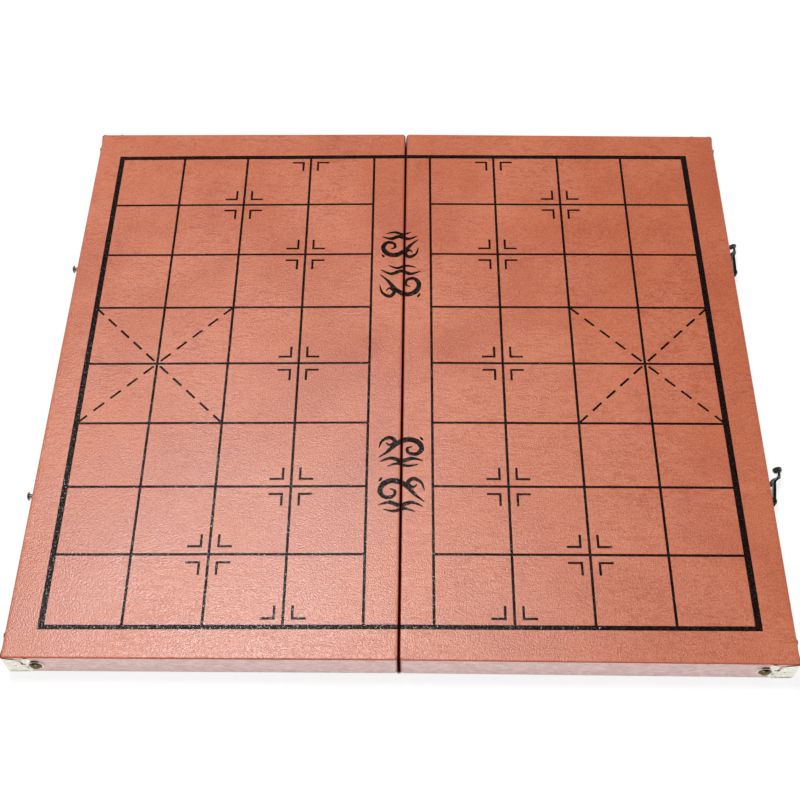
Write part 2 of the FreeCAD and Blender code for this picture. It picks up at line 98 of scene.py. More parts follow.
# %% Sizes and the turn onto the table
MM = 0.001
SLIT_HALF = 0.25
OUTER_X = 239.0
HALF_DEPTH = 219.0
TOP = 21.0
LEATHER = 0.8
CORNER_RADIUS = 1.6
SLIT_CORNER_RADIUS = 2.6
EDGE_RADIUS = 1.0
KNUCKLE_RADIUS = 1.6
TENT = math.asin(KNUCKLE_RADIUS / OUTER_X)


def stand(points, side):
    """Flat points of one half, in millimetres, as points of the standing board, in metres."""
    p = np.asarray(points, float)
    x = p[:, 0] * math.cos(TENT) + p[:, 2] * math.sin(TENT)
    z = p[:, 2] * math.cos(TENT) - p[:, 0] * math.sin(TENT) + KNUCKLE_RADIUS
    if side == "left":
        x = -x
    return np.column_stack([x, p[:, 1], z]) * MM


def new_piece(name, points, faces, side, body, material):
    """A smooth mesh from flat points, set on its half and riding on its body."""
    mesh = bpy.data.meshes.new(name)
    if side == "left":
        faces = [list(reversed(face)) for face in faces]
    mesh.from_pydata([tuple(v) for v in stand(points, side)], [], [list(f) for f in faces])
    mesh.validate()
    mesh.polygons.foreach_set("use_smooth", [True] * len(mesh.polygons))
    piece = bpy.data.objects.new(name, mesh)
    bpy.context.scene.collection.objects.link(piece)
    mesh.materials.append(material)
    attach(piece, body)
    return piece


print("each half leans", round(math.degrees(TENT), 3), "degrees")

# %% [markdown]
# ## Building materials from nodes
#
# A procedural material is a chain of small nodes. These helpers keep the chains short to read:
# `add` makes a node and sets its values, `ramp` turns one grey range into another. An effect that
# several materials share goes into a node group, which is built once and has named sockets.

# %% Node helpers
def add(tree, kind, inputs=None, **settings):
    """A new node with its settings and its inputs: a value, or another node's output."""
    node = tree.nodes.new(kind)
    for key, value in settings.items():
        setattr(node, key, value)
    for key, value in (inputs or {}).items():
        if isinstance(value, bpy.types.NodeSocket):
            tree.links.new(value, node.inputs[key])
        else:
            node.inputs[key].default_value = value
    return node


def math_node(tree, operation, a, b=0.0, clamp=False):
    """The result of one sum on two values."""
    return add(tree, "ShaderNodeMath", {0: a, 1: b}, operation=operation, use_clamp=clamp).outputs[0]


def ramp(tree, value, from_low, from_high, to_low=0.0, to_high=1.0):
    """A value moved from one range to another, held inside it."""
    inputs = {
        "Value": value,
        "From Min": from_low,
        "From Max": from_high,
        "To Min": to_low,
        "To Max": to_high,
    }
    return add(tree, "ShaderNodeMapRange", inputs, clamp=True).outputs["Result"]


def mix_colour(tree, factor, a, b, blend="MIX"):
    """One colour laid over another."""
    node = add(tree, "ShaderNodeMix", data_type="RGBA", blend_type=blend)
    for socket, value in ((node.inputs[0], factor), (node.inputs[6], a), (node.inputs[7], b)):
        if isinstance(value, bpy.types.NodeSocket):
            tree.links.new(value, socket)
        else:
            socket.default_value = value
    return node.outputs[2]


def noise(tree, vector, scale, detail=2.0, roughness=0.5, stretch=None, distortion=0.0):
    """Noise at a scale given as repeats per metre, perhaps stretched along an axis."""
    if stretch:
        vector = add(
            tree, "ShaderNodeMapping", {"Vector": vector, "Scale": stretch}
        ).outputs["Vector"]
    inputs = {
        "Vector": vector,
        "Scale": scale,
        "Detail": detail,
        "Roughness": roughness,
        "Distortion": distortion,
    }
    return add(tree, "ShaderNodeTexNoise", inputs, noise_dimensions="3D").outputs["Fac"]


def new_group(name, inputs, outputs):
    """An empty shader group with named sockets, and its two end nodes."""
    group = bpy.data.node_groups.new(name, "ShaderNodeTree")
    for label, kind, default in inputs:
        socket = group.interface.new_socket(label, in_out="INPUT", socket_type=kind)
        if default is not None:
            socket.default_value = default
    for label, kind in outputs:
        group.interface.new_socket(label, in_out="OUTPUT", socket_type=kind)
    return group, group.nodes.new("NodeGroupInput"), group.nodes.new("NodeGroupOutput")


def new_material(name):
    """A material with only its Principled shader, and its tree."""
    material = bpy.data.materials.new(name)
    material.use_nodes = True
    tree = material.node_tree
    return material, tree, tree.nodes["Principled BSDF"]


def place_group(tree, group, inputs=None):
    """One use of a shared group inside a material."""
    return add(tree, "ShaderNodeGroup", inputs, node_tree=group)


def bump(tree, height, distance, strength=1.0):
    """A normal that follows a height, in metres."""
    inputs = {"Height": height, "Distance": distance, "Strength": strength}
    return add(tree, "ShaderNodeBump", inputs).outputs["Normal"]


print("helpers ready")

# %% [markdown]
# ## The grain of the leather
#
# The cover is leatherette: a printed and embossed skin with small round pebbles, finer pores
# between them, and faint creases where it was pulled over the board. Pebbles are the cells of a
# Voronoi pattern, and creases are a stretched, distorted noise that is kept only where it crosses
# its middle value. Both the leather and the ink on it need the same bumps, so this is a group.

# %% Leather grain group
FLOAT = "NodeSocketFloat"
COLOUR = "NodeSocketColor"
VECTOR = "NodeSocketVector"

leather_grain, grain_in, grain_out = new_group(
    "leather_grain",
    [
        ("Vector", VECTOR, None),
        ("Pebble Scale", FLOAT, 1100.0),
        ("Crease Depth", FLOAT, 0.5),
    ],
    [("Height", FLOAT), ("Pores", FLOAT), ("Creases", FLOAT), ("Glint Specks", FLOAT), ("Patches", FLOAT)],
)
where = grain_in.outputs["Vector"]
wobble = add(leather_grain, "ShaderNodeTexNoise", {"Vector": where, "Scale": 420.0, "Detail": 2.0})
shift = add(
    leather_grain, "ShaderNodeVectorMath", {0: wobble.outputs["Color"]}, operation="SCALE"
)
shift.inputs["Scale"].default_value = 0.0011
bent = add(
    leather_grain,
    "ShaderNodeVectorMath",
    {0: where, 1: shift.outputs["Vector"]},
    operation="ADD",
).outputs["Vector"]
cells = add(
    leather_grain,
    "ShaderNodeTexVoronoi",
    {"Vector": bent, "Scale": grain_in.outputs["Pebble Scale"]},
    feature="F1",
)
pebbles = ramp(leather_grain, cells.outputs["Distance"], 0.10, 0.80, 1.0, 0.0)
creases = 0.0
for scale, thin, low, high in ((60.0, 0.030, 0.44, 0.70), (190.0, 0.085, 0.30, 0.62)):
    web = noise(leather_grain, where, scale, 4.0, 0.6, stretch=(0.45, 1.5, 1.5), distortion=0.8)
    web = math_node(leather_grain, "ABSOLUTE", math_node(leather_grain, "SUBTRACT", web, 0.5))
    places = ramp(leather_grain, noise(leather_grain, where, 17.0, 2.0), low, high)
    web = math_node(
        leather_grain, "MULTIPLY", ramp(leather_grain, web, 0.0, thin, 1.0, 0.0), places
    )
    creases = math_node(leather_grain, "MAXIMUM", web, creases)
crease_cut = math_node(leather_grain, "MULTIPLY", creases, grain_in.outputs["Crease Depth"])
fine = noise(leather_grain, where, 1900.0, 3.0, 0.6)
height = math_node(
    leather_grain, "ADD", pebbles, math_node(leather_grain, "MULTIPLY", fine, 0.7)
)
height = math_node(leather_grain, "SUBTRACT", height, crease_cut)
leather_grain.links.new(height, grain_out.inputs["Height"])
leather_grain.links.new(
    ramp(leather_grain, cells.outputs["Distance"], 0.45, 0.80), grain_out.inputs["Pores"]
)
leather_grain.links.new(creases, grain_out.inputs["Creases"])
glint_specks = noise(leather_grain, where, 900.0, 3.0, 0.7)
leather_grain.links.new(ramp(leather_grain, glint_specks, 0.40, 0.66), grain_out.inputs["Glint Specks"])
leather_grain.links.new(noise(leather_grain, where, 22.0, 4.0, 0.6), grain_out.inputs["Patches"])
print("leather grain group has", len(leather_grain.nodes), "nodes")

# %% [markdown]
# ## Wear and painted shade along the slit
#
# The two halves rub where they meet. The very edge is painted near black, a painted shade for the
# deep narrow gap with some grime on it, and beside it the top colour is painted a deeper orange,
# partly wear and partly a painted shade where the edge turns away from the light. Both depend
# only on the distance from the middle of the board, so they can be read from the x of the object.
# The leather and the ink both need them, so they are the second group.

# %% Slit wear and shade group
slit_wear_and_shade, wear_in, wear_out = new_group(
    "slit_wear_and_shade", [("Vector", VECTOR, None)], [("Shade And Grime", FLOAT), ("Worn And Shaded", FLOAT)]
)
where = wear_in.outputs["Vector"]
across = add(slit_wear_and_shade, "ShaderNodeSeparateXYZ", {"Vector": where}).outputs["X"]
ragged = noise(slit_wear_and_shade, where, 500.0, 3.0, 0.6)
distance = math_node(
    slit_wear_and_shade,
    "ADD",
    math_node(slit_wear_and_shade, "ABSOLUTE", across),
    math_node(slit_wear_and_shade, "MULTIPLY", math_node(slit_wear_and_shade, "SUBTRACT", ragged, 0.5), 0.0007),
)
slit_wear_and_shade.links.new(ramp(slit_wear_and_shade, distance, 0.00060, 0.00095, 1.0, 0.0), wear_out.inputs["Shade And Grime"])
slit_wear_and_shade.links.new(ramp(slit_wear_and_shade, distance, 0.00105, 0.00240, 1.0, 0.0), wear_out.inputs["Worn And Shaded"])
print("slit wear group has", len(slit_wear_and_shade.nodes), "nodes")

# %% [markdown]
# ## The leather itself
#
# The colour is a warm salmon. Real leatherette is never one flat colour: the pores hold a darker
# tone, broad patches drift a little lighter and darker, and creases are slightly rubbed. Pale
# flecks on the pebbles are a painted highlight, for the glints of light on their tips. The
# lower part of the rounded top edges is painted a deeper red brown, a painted shade where they
# turn from the light, partly wear, and the walls are painted paler, a painted sheen for the
# bright floor they reflect. A soft satin finish catches the light of the room, which is what
# makes the near edge look paler.

# %% Leather material
leather, tree, shader = new_material("salmon_leather")
coordinates = add(tree, "ShaderNodeTexCoord")
place = coordinates.outputs["Object"]
grain = place_group(tree, leather_grain, {"Vector": place, "Pebble Scale": 1100.0, "Crease Depth": 0.5})
slit = place_group(tree, slit_wear_and_shade, {"Vector": place})
patches = ramp(tree, grain.outputs["Patches"], 0.35, 0.65)
colour = mix_colour(tree, patches, (0.452, 0.068, 0.007, 1), (0.536, 0.103, 0.018, 1))
# Painted highlight: pale flecks on the pebbles stand in for glints of light on their tips.
glint_specks = math_node(tree, "MULTIPLY", grain.outputs["Glint Specks"], 0.34)
colour = mix_colour(tree, glint_specks, colour, (0.84, 0.31, 0.17, 1))
pores = math_node(tree, "MULTIPLY", grain.outputs["Pores"], 0.34)
colour = mix_colour(tree, pores, colour, (0.36, 0.030, 0.008, 1))
rubbed = math_node(tree, "MULTIPLY", grain.outputs["Creases"], 0.30)
colour = mix_colour(tree, rubbed, colour, (0.84, 0.30, 0.16, 1))
facing_up = add(tree, "ShaderNodeSeparateXYZ", {"Vector": coordinates.outputs["Normal"]}).outputs["Z"]
# Painted sheen: the walls are painted a paler, streaked pink for the bright floor they reflect.
wall = ramp(tree, facing_up, 0.05, 0.35, 1.0, 0.0)
streaks = ramp(tree, noise(tree, place, 330.0, 4.0, 0.65, stretch=(0.6, 0.6, 1.7), distortion=0.6), 0.36, 0.68)
painted_wall_sheen = mix_colour(tree, streaks, (0.62, 0.38, 0.36, 1), (0.90, 0.68, 0.65, 1))
colour = mix_colour(tree, math_node(tree, "MULTIPLY", wall, 0.88), colour, painted_wall_sheen)
# Painted shade, partly wear: the lower part of the rounded top edge is painted a deeper red brown where it turns
# away from the light.
edge = math_node(
    tree, "MULTIPLY", ramp(tree, facing_up, 0.10, 0.25), ramp(tree, facing_up, 0.60, 0.85, 1.0, 0.0)
)
colour = mix_colour(tree, math_node(tree, "MULTIPLY", edge, 0.95), colour, (0.30, 0.020, 0.008, 1))
# Painted shade with some wear and grime: a deeper orange beside the slit, and near black at its edge.
colour = mix_colour(
    tree, math_node(tree, "MULTIPLY", slit.outputs["Worn And Shaded"], 0.85), colour, (0.40, 0.060, 0.010, 1)
)
colour = mix_colour(tree, slit.outputs["Shade And Grime"], colour, (0.045, 0.003, 0.001, 1))
tree.links.new(colour, shader.inputs["Base Color"])
rough = ramp(tree, grain.outputs["Patches"], 0.3, 0.7, 0.33, 0.38)
dull = math_node(tree, "MAXIMUM", slit.outputs["Shade And Grime"], math_node(tree, "MULTIPLY", edge, 0.7))
tree.links.new(ramp(tree, dull, 0.0, 1.0, rough, 0.9), shader.inputs["Roughness"])
tree.links.new(bump(tree, grain.outputs["Height"], 0.00008), shader.inputs["Normal"])
shader.inputs["Specular IOR Level"].default_value = 0.94
shader.inputs["Sheen Weight"].default_value = 0.13
shader.inputs["Sheen Roughness"].default_value = 0.3

# The faces at the slit get a material of their own: near black maroon at the top of the slit wall and at its ends,
# a painted shade for the narrow gap with some grime, and a plain deeper leather colour lower down.
slit_edge, tree, shader = new_material("slit_edge_painted_shade")
place = add(tree, "ShaderNodeTexCoord").outputs["Object"]
rough_spots = ramp(tree, noise(tree, place, 700.0, 3.0, 0.65), 0.40, 0.62)
colour = mix_colour(tree, rough_spots, (0.055, 0.002, 0.001, 1), (0.160, 0.010, 0.003, 1))
apart = add(tree, "ShaderNodeSeparateXYZ", {"Vector": place})
far_along = math_node(tree, "ABSOLUTE", apart.outputs["Y"], 0.0)
blotches = ramp(tree, noise(tree, place, 90.0, 4.0, 0.6, stretch=(1.0, 0.35, 1.0)), 0.3, 0.7, -0.0018, 0.0018)
height = math_node(tree, "ADD", apart.outputs["Z"], blotches)
along = math_node(tree, "ADD", far_along, math_node(tree, "MULTIPLY", blotches, 3.0))
# Painted shade with some grime: darker where the slit wall stands high and near its ends.
dirty = math_node(
    tree, "MAXIMUM", ramp(tree, height, 0.0135, 0.0190), ramp(tree, along, 0.197, 0.211)
)
clean = mix_colour(tree, rough_spots, (0.36, 0.055, 0.016, 1), (0.43, 0.085, 0.030, 1))
colour = mix_colour(tree, dirty, clean, colour)
tree.links.new(colour, shader.inputs["Base Color"])
tree.links.new(ramp(tree, rough_spots, 0.0, 1.0, 0.75, 0.95), shader.inputs["Roughness"])
tree.links.new(bump(tree, rough_spots, 0.00004), shader.inputs["Normal"])
shader.inputs["Specular IOR Level"].default_value = 0.1
print("leather ready")

# %% [markdown]
# ## The printing ink
#
# The grid is printed in black ink with a roller, so it lies on top of the pebbles, fills the pores
# a little and has a satin gloss. Some pores stay open and show the leather. It uses the same
# grain as the leather, with bumps of its own.

# %% Ink material
ink, tree, shader = new_material("printing_ink")
place = add(tree, "ShaderNodeTexCoord").outputs["Object"]
grain = place_group(tree, leather_grain, {"Vector": place, "Pebble Scale": 1100.0, "Crease Depth": 0.5})
slit = place_group(tree, slit_wear_and_shade, {"Vector": place})
colour = mix_colour(
    tree, ramp(tree, grain.outputs["Patches"], 0.35, 0.65), (0.0018, 0.0006, 0.0005, 1), (0.0042, 0.0014, 0.0012, 1)
)
worn = math_node(tree, "MULTIPLY", grain.outputs["Pores"], 0.10)
colour = mix_colour(tree, worn, colour, (0.20, 0.05, 0.03, 1))
# Painted shade with some grime: the ink goes darker still at the slit.
colour = mix_colour(tree, slit.outputs["Shade And Grime"], colour, (0.010, 0.002, 0.001, 1))
tree.links.new(colour, shader.inputs["Base Color"])
tree.links.new(ramp(tree, grain.outputs["Patches"], 0.3, 0.7, 0.20, 0.28), shader.inputs["Roughness"])
tree.links.new(bump(tree, grain.outputs["Height"], 0.00008), shader.inputs["Normal"])
glints = ramp(tree, grain.outputs["Glint Specks"], 0.60, 1.0, 0.07, 0.95)
tree.links.new(glints, shader.inputs["Specular IOR Level"])
print("ink ready")

# %% [markdown]
# ## The leather cover of one half
#
# One sheet of leather goes over the top and down the four walls. It could be a box with a bevel,
# but then the top would be one flat face. Here it is drawn as a grid for the top, and rings that
# run round it: first over the rounded edge, then down the wall, round the rim and up the inside.
# That gives a soft edge, square corners with a small radius, and enough points for the leather to
# rise and fall by a tenth of a millimetre, as glued leather does.

# %% The surface of the leather
def top_height(x, y):
    """Height of the leather's upper side over the rim, in millimetres."""
    x = np.asarray(x, float)
    y = np.asarray(y, float)
    waves = (
        0.050 * np.sin(x / 17.0 + 1.3 * np.sin(y / 41.0))
        + 0.040 * np.sin(y / 13.0 + 0.9 * np.sin(x / 29.0) + 1.0)
        + 0.030 * np.sin((x + 1.4 * y) / 21.0 + 2.0)
    )
    edge = np.minimum(np.minimum(x - SLIT_HALF, OUTER_X - x), HALF_DEPTH - np.abs(y))
    over = np.clip(EDGE_RADIUS - edge, 0.0, EDGE_RADIUS)
    drop = EDGE_RADIUS - np.sqrt(EDGE_RADIUS**2 - over**2)
    return TOP + waves * np.clip((edge - 1.0) / 10.0, 0.0, 1.0) - drop


def spread(low, high, step):
    """Evenly spaced values from low to high, about a step apart."""
    return np.linspace(low, high, int(math.ceil((high - low) / step)) + 1)


GRID_STEP = 3.6
GRID_INSET = 3.2
columns = spread(SLIT_HALF + GRID_INSET, OUTER_X - GRID_INSET, GRID_STEP)
ROW_END = [197.4, 198.0, 200.3, 202.6, 203.1, 205.4, 207.6, 208.1, 210.1, 212.0, 212.6, 214.3, 215.8]
rows = np.concatenate([-np.array(ROW_END[::-1]), spread(-194.4, 194.4, GRID_STEP), ROW_END])
print("top grid", len(columns), "by", len(rows))

# %% The rings round the top
WINDOW_HALF = 216.5
WINDOW_TOP = 10.1
RELIEF_RADIUS = 2.0
CORNER_STEPS = 6


def ring_stations():
    """Where each point of a ring stands: its place on the wall, and the corner it turns about."""
    stations = []
    x0, x1, y1 = SLIT_HALF, OUTER_X, HALF_DEPTH
    outer, slit = CORNER_RADIUS, SLIT_CORNER_RADIUS
    sides = [
        ([(x, -y1) for x in columns], (0, 1), (x1 - outer, -y1 + outer), -90, outer),
        ([(x1, y) for y in rows], (-1, 0), (x1 - outer, y1 - outer), 0, outer),
        ([(x, y1) for x in columns[::-1]], (0, -1), (x0 + slit, y1 - slit), 90, slit),
        ([(x0, y) for y in rows[::-1]], (1, 0), (x0 + slit, -y1 + slit), 180, slit),
    ]
    for points, inward, centre, start, r in sides:
        for p in points:
            stations.append((p, inward, "side"))
        for k in range(CORNER_STEPS + 1):
            angle = math.radians(start + 90 * k / CORNER_STEPS)
            out = (math.cos(angle), math.sin(angle))
            p = (centre[0] + r * out[0], centre[1] + r * out[1])
            stations.append((p, (-out[0], -out[1]), "corner"))
    return stations


stations = ring_stations()
station_points = np.array([s[0] for s in stations])
station_inward = np.array([s[1] for s in stations])


def rim_height(points):
    """How far down the leather comes at each point: it leaves room for the hinge."""
    x, y = points[:, 0], points[:, 1]
    low = np.sqrt(np.clip(RELIEF_RADIUS**2 - x**2, 0.0, None))
    behind_leaf = (x < SLIT_HALF + LEATHER) & (np.abs(y) < WINDOW_HALF)
    return np.where(behind_leaf, WINDOW_TOP, low)


PUCKERS = {"left": [(198.0, 202.6), (208.1, 212.0)], "right": [(203.1, 207.6), (212.6, 215.8)]}


def pucker(side, z):
    """How far the leather stands out in the small folds near the slit's two ends."""
    x, y = station_points[:, 0], np.abs(station_points[:, 1])
    on_fold = np.zeros(len(y))
    for start, end in PUCKERS[side]:
        on_fold += ((y > start - 0.05) & (y < end + 0.05)).astype(float)
    z = np.broadcast_to(z, len(y))
    low = np.clip((20.0 - z) / 1.5, 0.0, 1.0)
    return (0.40 - 0.005 * z) * on_fold * low * (x < SLIT_HALF + 0.01)


def ring(side, inset, z):
    """A ring of points, set in from the outside of the wall, at a height or heights."""
    flat = station_points + station_inward * (inset - pucker(side, z))[:, None]
    return np.column_stack([flat, np.broadcast_to(z, len(flat))])


print("points in a ring", len(stations))

# %% Build both covers
def cover_mesh(side):
    """Flat points and faces of one leather cover."""
    grid_x, grid_y = np.meshgrid(columns, rows)
    points = [np.column_stack([grid_x.ravel(), grid_y.ravel(), top_height(grid_x, grid_y).ravel()])]
    nx, ny = len(columns), len(rows)
    faces = []
    for j in range(ny - 1):
        for i in range(nx - 1):
            a = j * nx + i
            faces.append((a, a + 1, a + nx + 1, a + nx))
    rim = rim_height(station_points)
    rings = []
    for k in range(7):
        angle = math.radians(15 * k)
        inset = EDGE_RADIUS * (1 - math.sin(angle))
        rings.append(ring(side, inset, TOP - EDGE_RADIUS * (1 - math.cos(angle))))
    for share in (0.97, 0.85, 0.65, 0.45, 0.25, 0.1, 0.03):
        rings.append(ring(side, 0.0, rim + share * (TOP - EDGE_RADIUS - rim)))
    for k in range(1, 4):
        angle = math.radians(30 * k)
        rings.append(ring(side, 0.3 * (1 - math.cos(angle)), rim + 0.3 * (1 - math.sin(angle))))
    inner_rim = rim_height(station_points + station_inward * LEATHER)
    rings.append(ring(side, LEATHER, np.maximum(rim, inner_rim)))
    rings.append(ring(side, LEATHER, TOP - LEATHER))
    first = nx * ny
    n = len(stations)
    for r in rings:
        points.append(r)
    for level in range(len(rings) - 1):
        for i in range(n):
            a = first + level * n + i
            b = first + level * n + (i + 1) % n
            faces.append((a + n, b + n, b, a))
    faces.append([first + (len(rings) - 1) * n + i for i in reversed(range(n))])
    border = grid_border(nx, ny)
    for i in range(n):
        j = (i + 1) % n
        if border[i] == border[j]:
            faces.append((first + i, first + j, border[i]))
        else:
            faces.append((first + i, first + j, border[j], border[i]))
    return np.vstack(points), faces


def grid_border(nx, ny):
    """For each ring point, the point of the grid's edge that it joins."""
    border = []
    for (x, y), _, kind in stations:
        i = int(np.argmin(np.abs(columns - x)))
        j = int(np.argmin(np.abs(rows - y)))
        if kind == "side":
            if abs(y) > HALF_DEPTH - 0.01:
                j = 0 if y < 0 else ny - 1
            else:
                i = 0 if x < OUTER_X / 2 else nx - 1
        border.append(j * nx + i)
    return border


SLIT_SHADE_REACH = 0.95
covers = {}
for side in ("left", "right"):
    cover_points, cover_faces = cover_mesh(side)
    covers[side] = new_piece(
        f"{side}_leather", cover_points, cover_faces, side, f"{side}_half", leather
    )
    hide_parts(f"{side}_leather_cover")
    mesh = covers[side].data
    # The faces next to the slit take the slit's painted shade material.
    mesh.materials.append(slit_edge)
    for face in mesh.polygons:
        if abs(face.center.x) < SLIT_SHADE_REACH * MM:
            face.material_index = 1
print("cover faces", len(cover_faces))

# %% [markdown]
# ## The printed grid
#
# The board of this game has nine lines one way and ten the other, with a gap between the halves.
# The lines could be painted in the leather's material, but a printed line has a crisp edge at any
# distance, so it is real geometry: a sheet of ink a few hundredths of a millimetre thick that
# follows the leather. The whole print was laid on a little crooked, and it is kept that way.
#
# All upright and level lines and marks are boxes in the plane of the print. They are cut into one
# lattice of small cells, so that lines that cross share their points.

# %% Where the lines run
CELL = 49.0
PRINT_TURN = 0.0063
THIN = 1.75
PRINT = {
    "left": {"centre": 120.9, "middle": -1.8, "sign": -1},
    "right": {"centre": 117.8, "middle": -1.8, "sign": 1},
}
INK_LIFT = 0.045
INK_DEPTH = 0.06
HALF_GRID = 2 * CELL
MARK_ARM = 9.4
MARK_OFFSET = 4.8
MARK_STROKE = 1.6
CUT_X = SLIT_HALF + 0.35


def line_boxes(side):
    """The boxes of one half in the plane of the print: u from its middle outwards, v to the back."""
    boxes = []
    outer_border = 3.9 if side == "left" else 4.3
    for j in range(-4, 5):
        v = CELL * j
        if abs(j) < 4:
            boxes.append((-HALF_GRID, HALF_GRID, v - THIN / 2, v + THIN / 2))
            continue
        low, high = (v - 1.6, v + 2.1) if j == 4 else (v - 1.6, v + 1.5)
        at_slit = CUT_X - PRINT[side]["centre"] + PRINT[side]["sign"] * PRINT_TURN * v
        ends = [at_slit, at_slit + 0.2, at_slit + 0.45, at_slit + 0.8, HALF_GRID]
        boxes += [(ends[k], ends[k + 1], low, high) for k in range(4)]
    for i in range(5):
        u = HALF_GRID - CELL * i
        if i == 0:
            low, high = u - 1.9, u - 1.9 + outer_border
        else:
            low, high = u - THIN / 2, u + THIN / 2
        boxes.append((low, high, -4 * CELL - 1.6, 4 * CELL + 2.1))
    return boxes


def corner_marks():
    """The L-shaped marks round the starting points of the pieces."""
    boxes = []
    places = [(2, -3), (2, 3)] + [(3, j) for j in (-4, -2, 0, 2, 4)]
    for i, j in places:
        u, v = HALF_GRID - CELL * i, CELL * j
        for su in (-1, 1):
            for sv in (-1, 1):
                if abs(j) == 4 and sv * j > 0:
                    continue
                a = u + su * MARK_OFFSET
                b = v + sv * MARK_OFFSET
                boxes.append(ordered(a, a + su * MARK_ARM, b, b + sv * MARK_STROKE))
                boxes.append(ordered(a, a + su * MARK_STROKE, b, b + sv * MARK_ARM))
    return boxes


def ordered(u0, u1, v0, v1):
    """A box with its low values first."""
    return (min(u0, u1), max(u0, u1), min(v0, v1), max(v0, v1))


print("boxes in the left half", len(line_boxes("left")) + len(corner_marks()))

# %% From the plane of the print to the leather
def print_to_flat(side, u, v):
    """A place in the print as flat x and y of its half."""
    data = PRINT[side]
    u = np.asarray(u, float)
    v = np.asarray(v, float)
    turn = data["sign"] * PRINT_TURN
    x = data["centre"] + u - turn * v
    y = data["middle"] + turn * (data["centre"] + u) + v
    return x, y


def lattice(boxes, step=4.0):
    """Cells that cover a set of boxes without overlap, as cut lines and a table of yes and no."""
    cuts = []
    for low, high in ((0, 1), (2, 3)):
        values = sorted({round(b[k], 4) for b in boxes for k in (low, high)})
        filled = [values[0]]
        for value in values[1:]:
            parts = int(math.ceil((value - filled[-1]) / step))
            start = filled[-1]
            filled += [start + (value - start) * (k + 1) / parts for k in range(parts)]
        cuts.append(np.array(filled))
    us, vs = cuts
    mid_u = (us[1:] + us[:-1]) / 2
    mid_v = (vs[1:] + vs[:-1]) / 2
    inside = np.zeros((len(mid_u), len(mid_v)), bool)
    for u0, u1, v0, v1 in boxes:
        in_u = (mid_u > u0) & (mid_u < u1)
        in_v = (mid_v > v0) & (mid_v < v1)
        inside |= in_u[:, None] & in_v[None, :]
    return us, vs, inside


def closed_sheet(flat_points, faces, lift):
    """A thin closed sheet of ink: an upper side, a lower side sunk in the leather, and edges."""
    flat_points = np.asarray(flat_points, float)
    x, y = flat_points[:, 0], flat_points[:, 1]
    leather_top = top_height(x, y)
    upper = np.column_stack([x, y, leather_top + lift])
    lower = np.column_stack([x, y, leather_top - INK_DEPTH])
    n = len(flat_points)
    all_faces = [tuple(f) for f in faces] + [tuple(k + n for k in reversed(f)) for f in faces]
    edges = {(f[k], f[(k + 1) % len(f)]) for f in faces for k in range(len(f))}
    for a, b in edges:
        if (b, a) not in edges:
            all_faces.append((b, a, a + n, b + n))
    return np.vstack([upper, lower]), all_faces


def box_sheet(side, boxes):
    """The sheet of ink for a set of boxes."""
    us, vs, inside = lattice(boxes)
    numbers = {}
    faces = []
    for i, j in zip(*np.nonzero(inside)):
        face = []
        for a, b in ((i, j), (i + 1, j), (i + 1, j + 1), (i, j + 1)):
            face.append(numbers.setdefault((a, b), len(numbers)))
        faces.append(face)
    keys = list(numbers)
    x, y = print_to_flat(side, [us[a] for a, _ in keys], [vs[b] for _, b in keys])
    return closed_sheet(np.column_stack([x, y]), faces, INK_LIFT)


sheets = {side: [box_sheet(side, line_boxes(side) + corner_marks())] for side in PRINT}
print("cells of the left print", len(sheets["left"][0][1]))

# %% [markdown]
# ## The dashed palaces
#
# At each end a square of four cells is crossed by two dashed diagonals. Each dash is a short
# straight bar. From every corner of the square five dashes run towards its middle, and they stop
# short of it, so the middle stays open.

# %% Dashes
DASH = 9.0
DASH_GAP = 5.3
DASH_STROKE = 1.6


def bar_sheet(side, start, end, width, lift):
    """A straight bar between two places of the print."""
    start, end = np.array(start, float), np.array(end, float)
    along = (end - start) / np.linalg.norm(end - start)
    across = np.array([-along[1], along[0]]) * width / 2
    steps = max(2, int(np.linalg.norm(end - start) / 3.0) + 1)
    line = [start + (end - start) * k / (steps - 1) for k in range(steps)]
    uv = np.array([p - across for p in line] + [p + across for p in line])
    x, y = print_to_flat(side, uv[:, 0], uv[:, 1])
    faces = [(k, k + 1, steps + k + 1, steps + k) for k in range(steps - 1)]
    return closed_sheet(np.column_stack([x, y]), faces, lift)


palace_corners = [(HALF_GRID - 2 * CELL * a, CELL * b) for a in (0, 1) for b in (-1, 1)]
palace_middle = np.array([HALF_GRID - CELL, 0.0])
for side in PRINT:
    for corner in palace_corners:
        corner = np.array(corner)
        towards = (palace_middle - corner) / np.linalg.norm(palace_middle - corner)
        for k in range(5):
            start = corner + towards * k * (DASH + DASH_GAP)
            sheets[side].append(
                bar_sheet(side, start, start + towards * DASH, DASH_STROKE, INK_LIFT + 0.012)
            )
print("dashes in each half", len(sheets["left"]) - 1)

# %% [markdown]
# ## The ornament at the middle
#
# Between the halves of the grid runs an open strip, the river. It carries four small brush
# pictures of water: a wave that curls over at its crest, a little wave behind it, two ripples
# below and a drop of spray. Each is made from lists of curve points with a width at every point,
# and is cut at the slit, because the print was cut there too. The two at the back are turned
# round, to face the player who sits there.

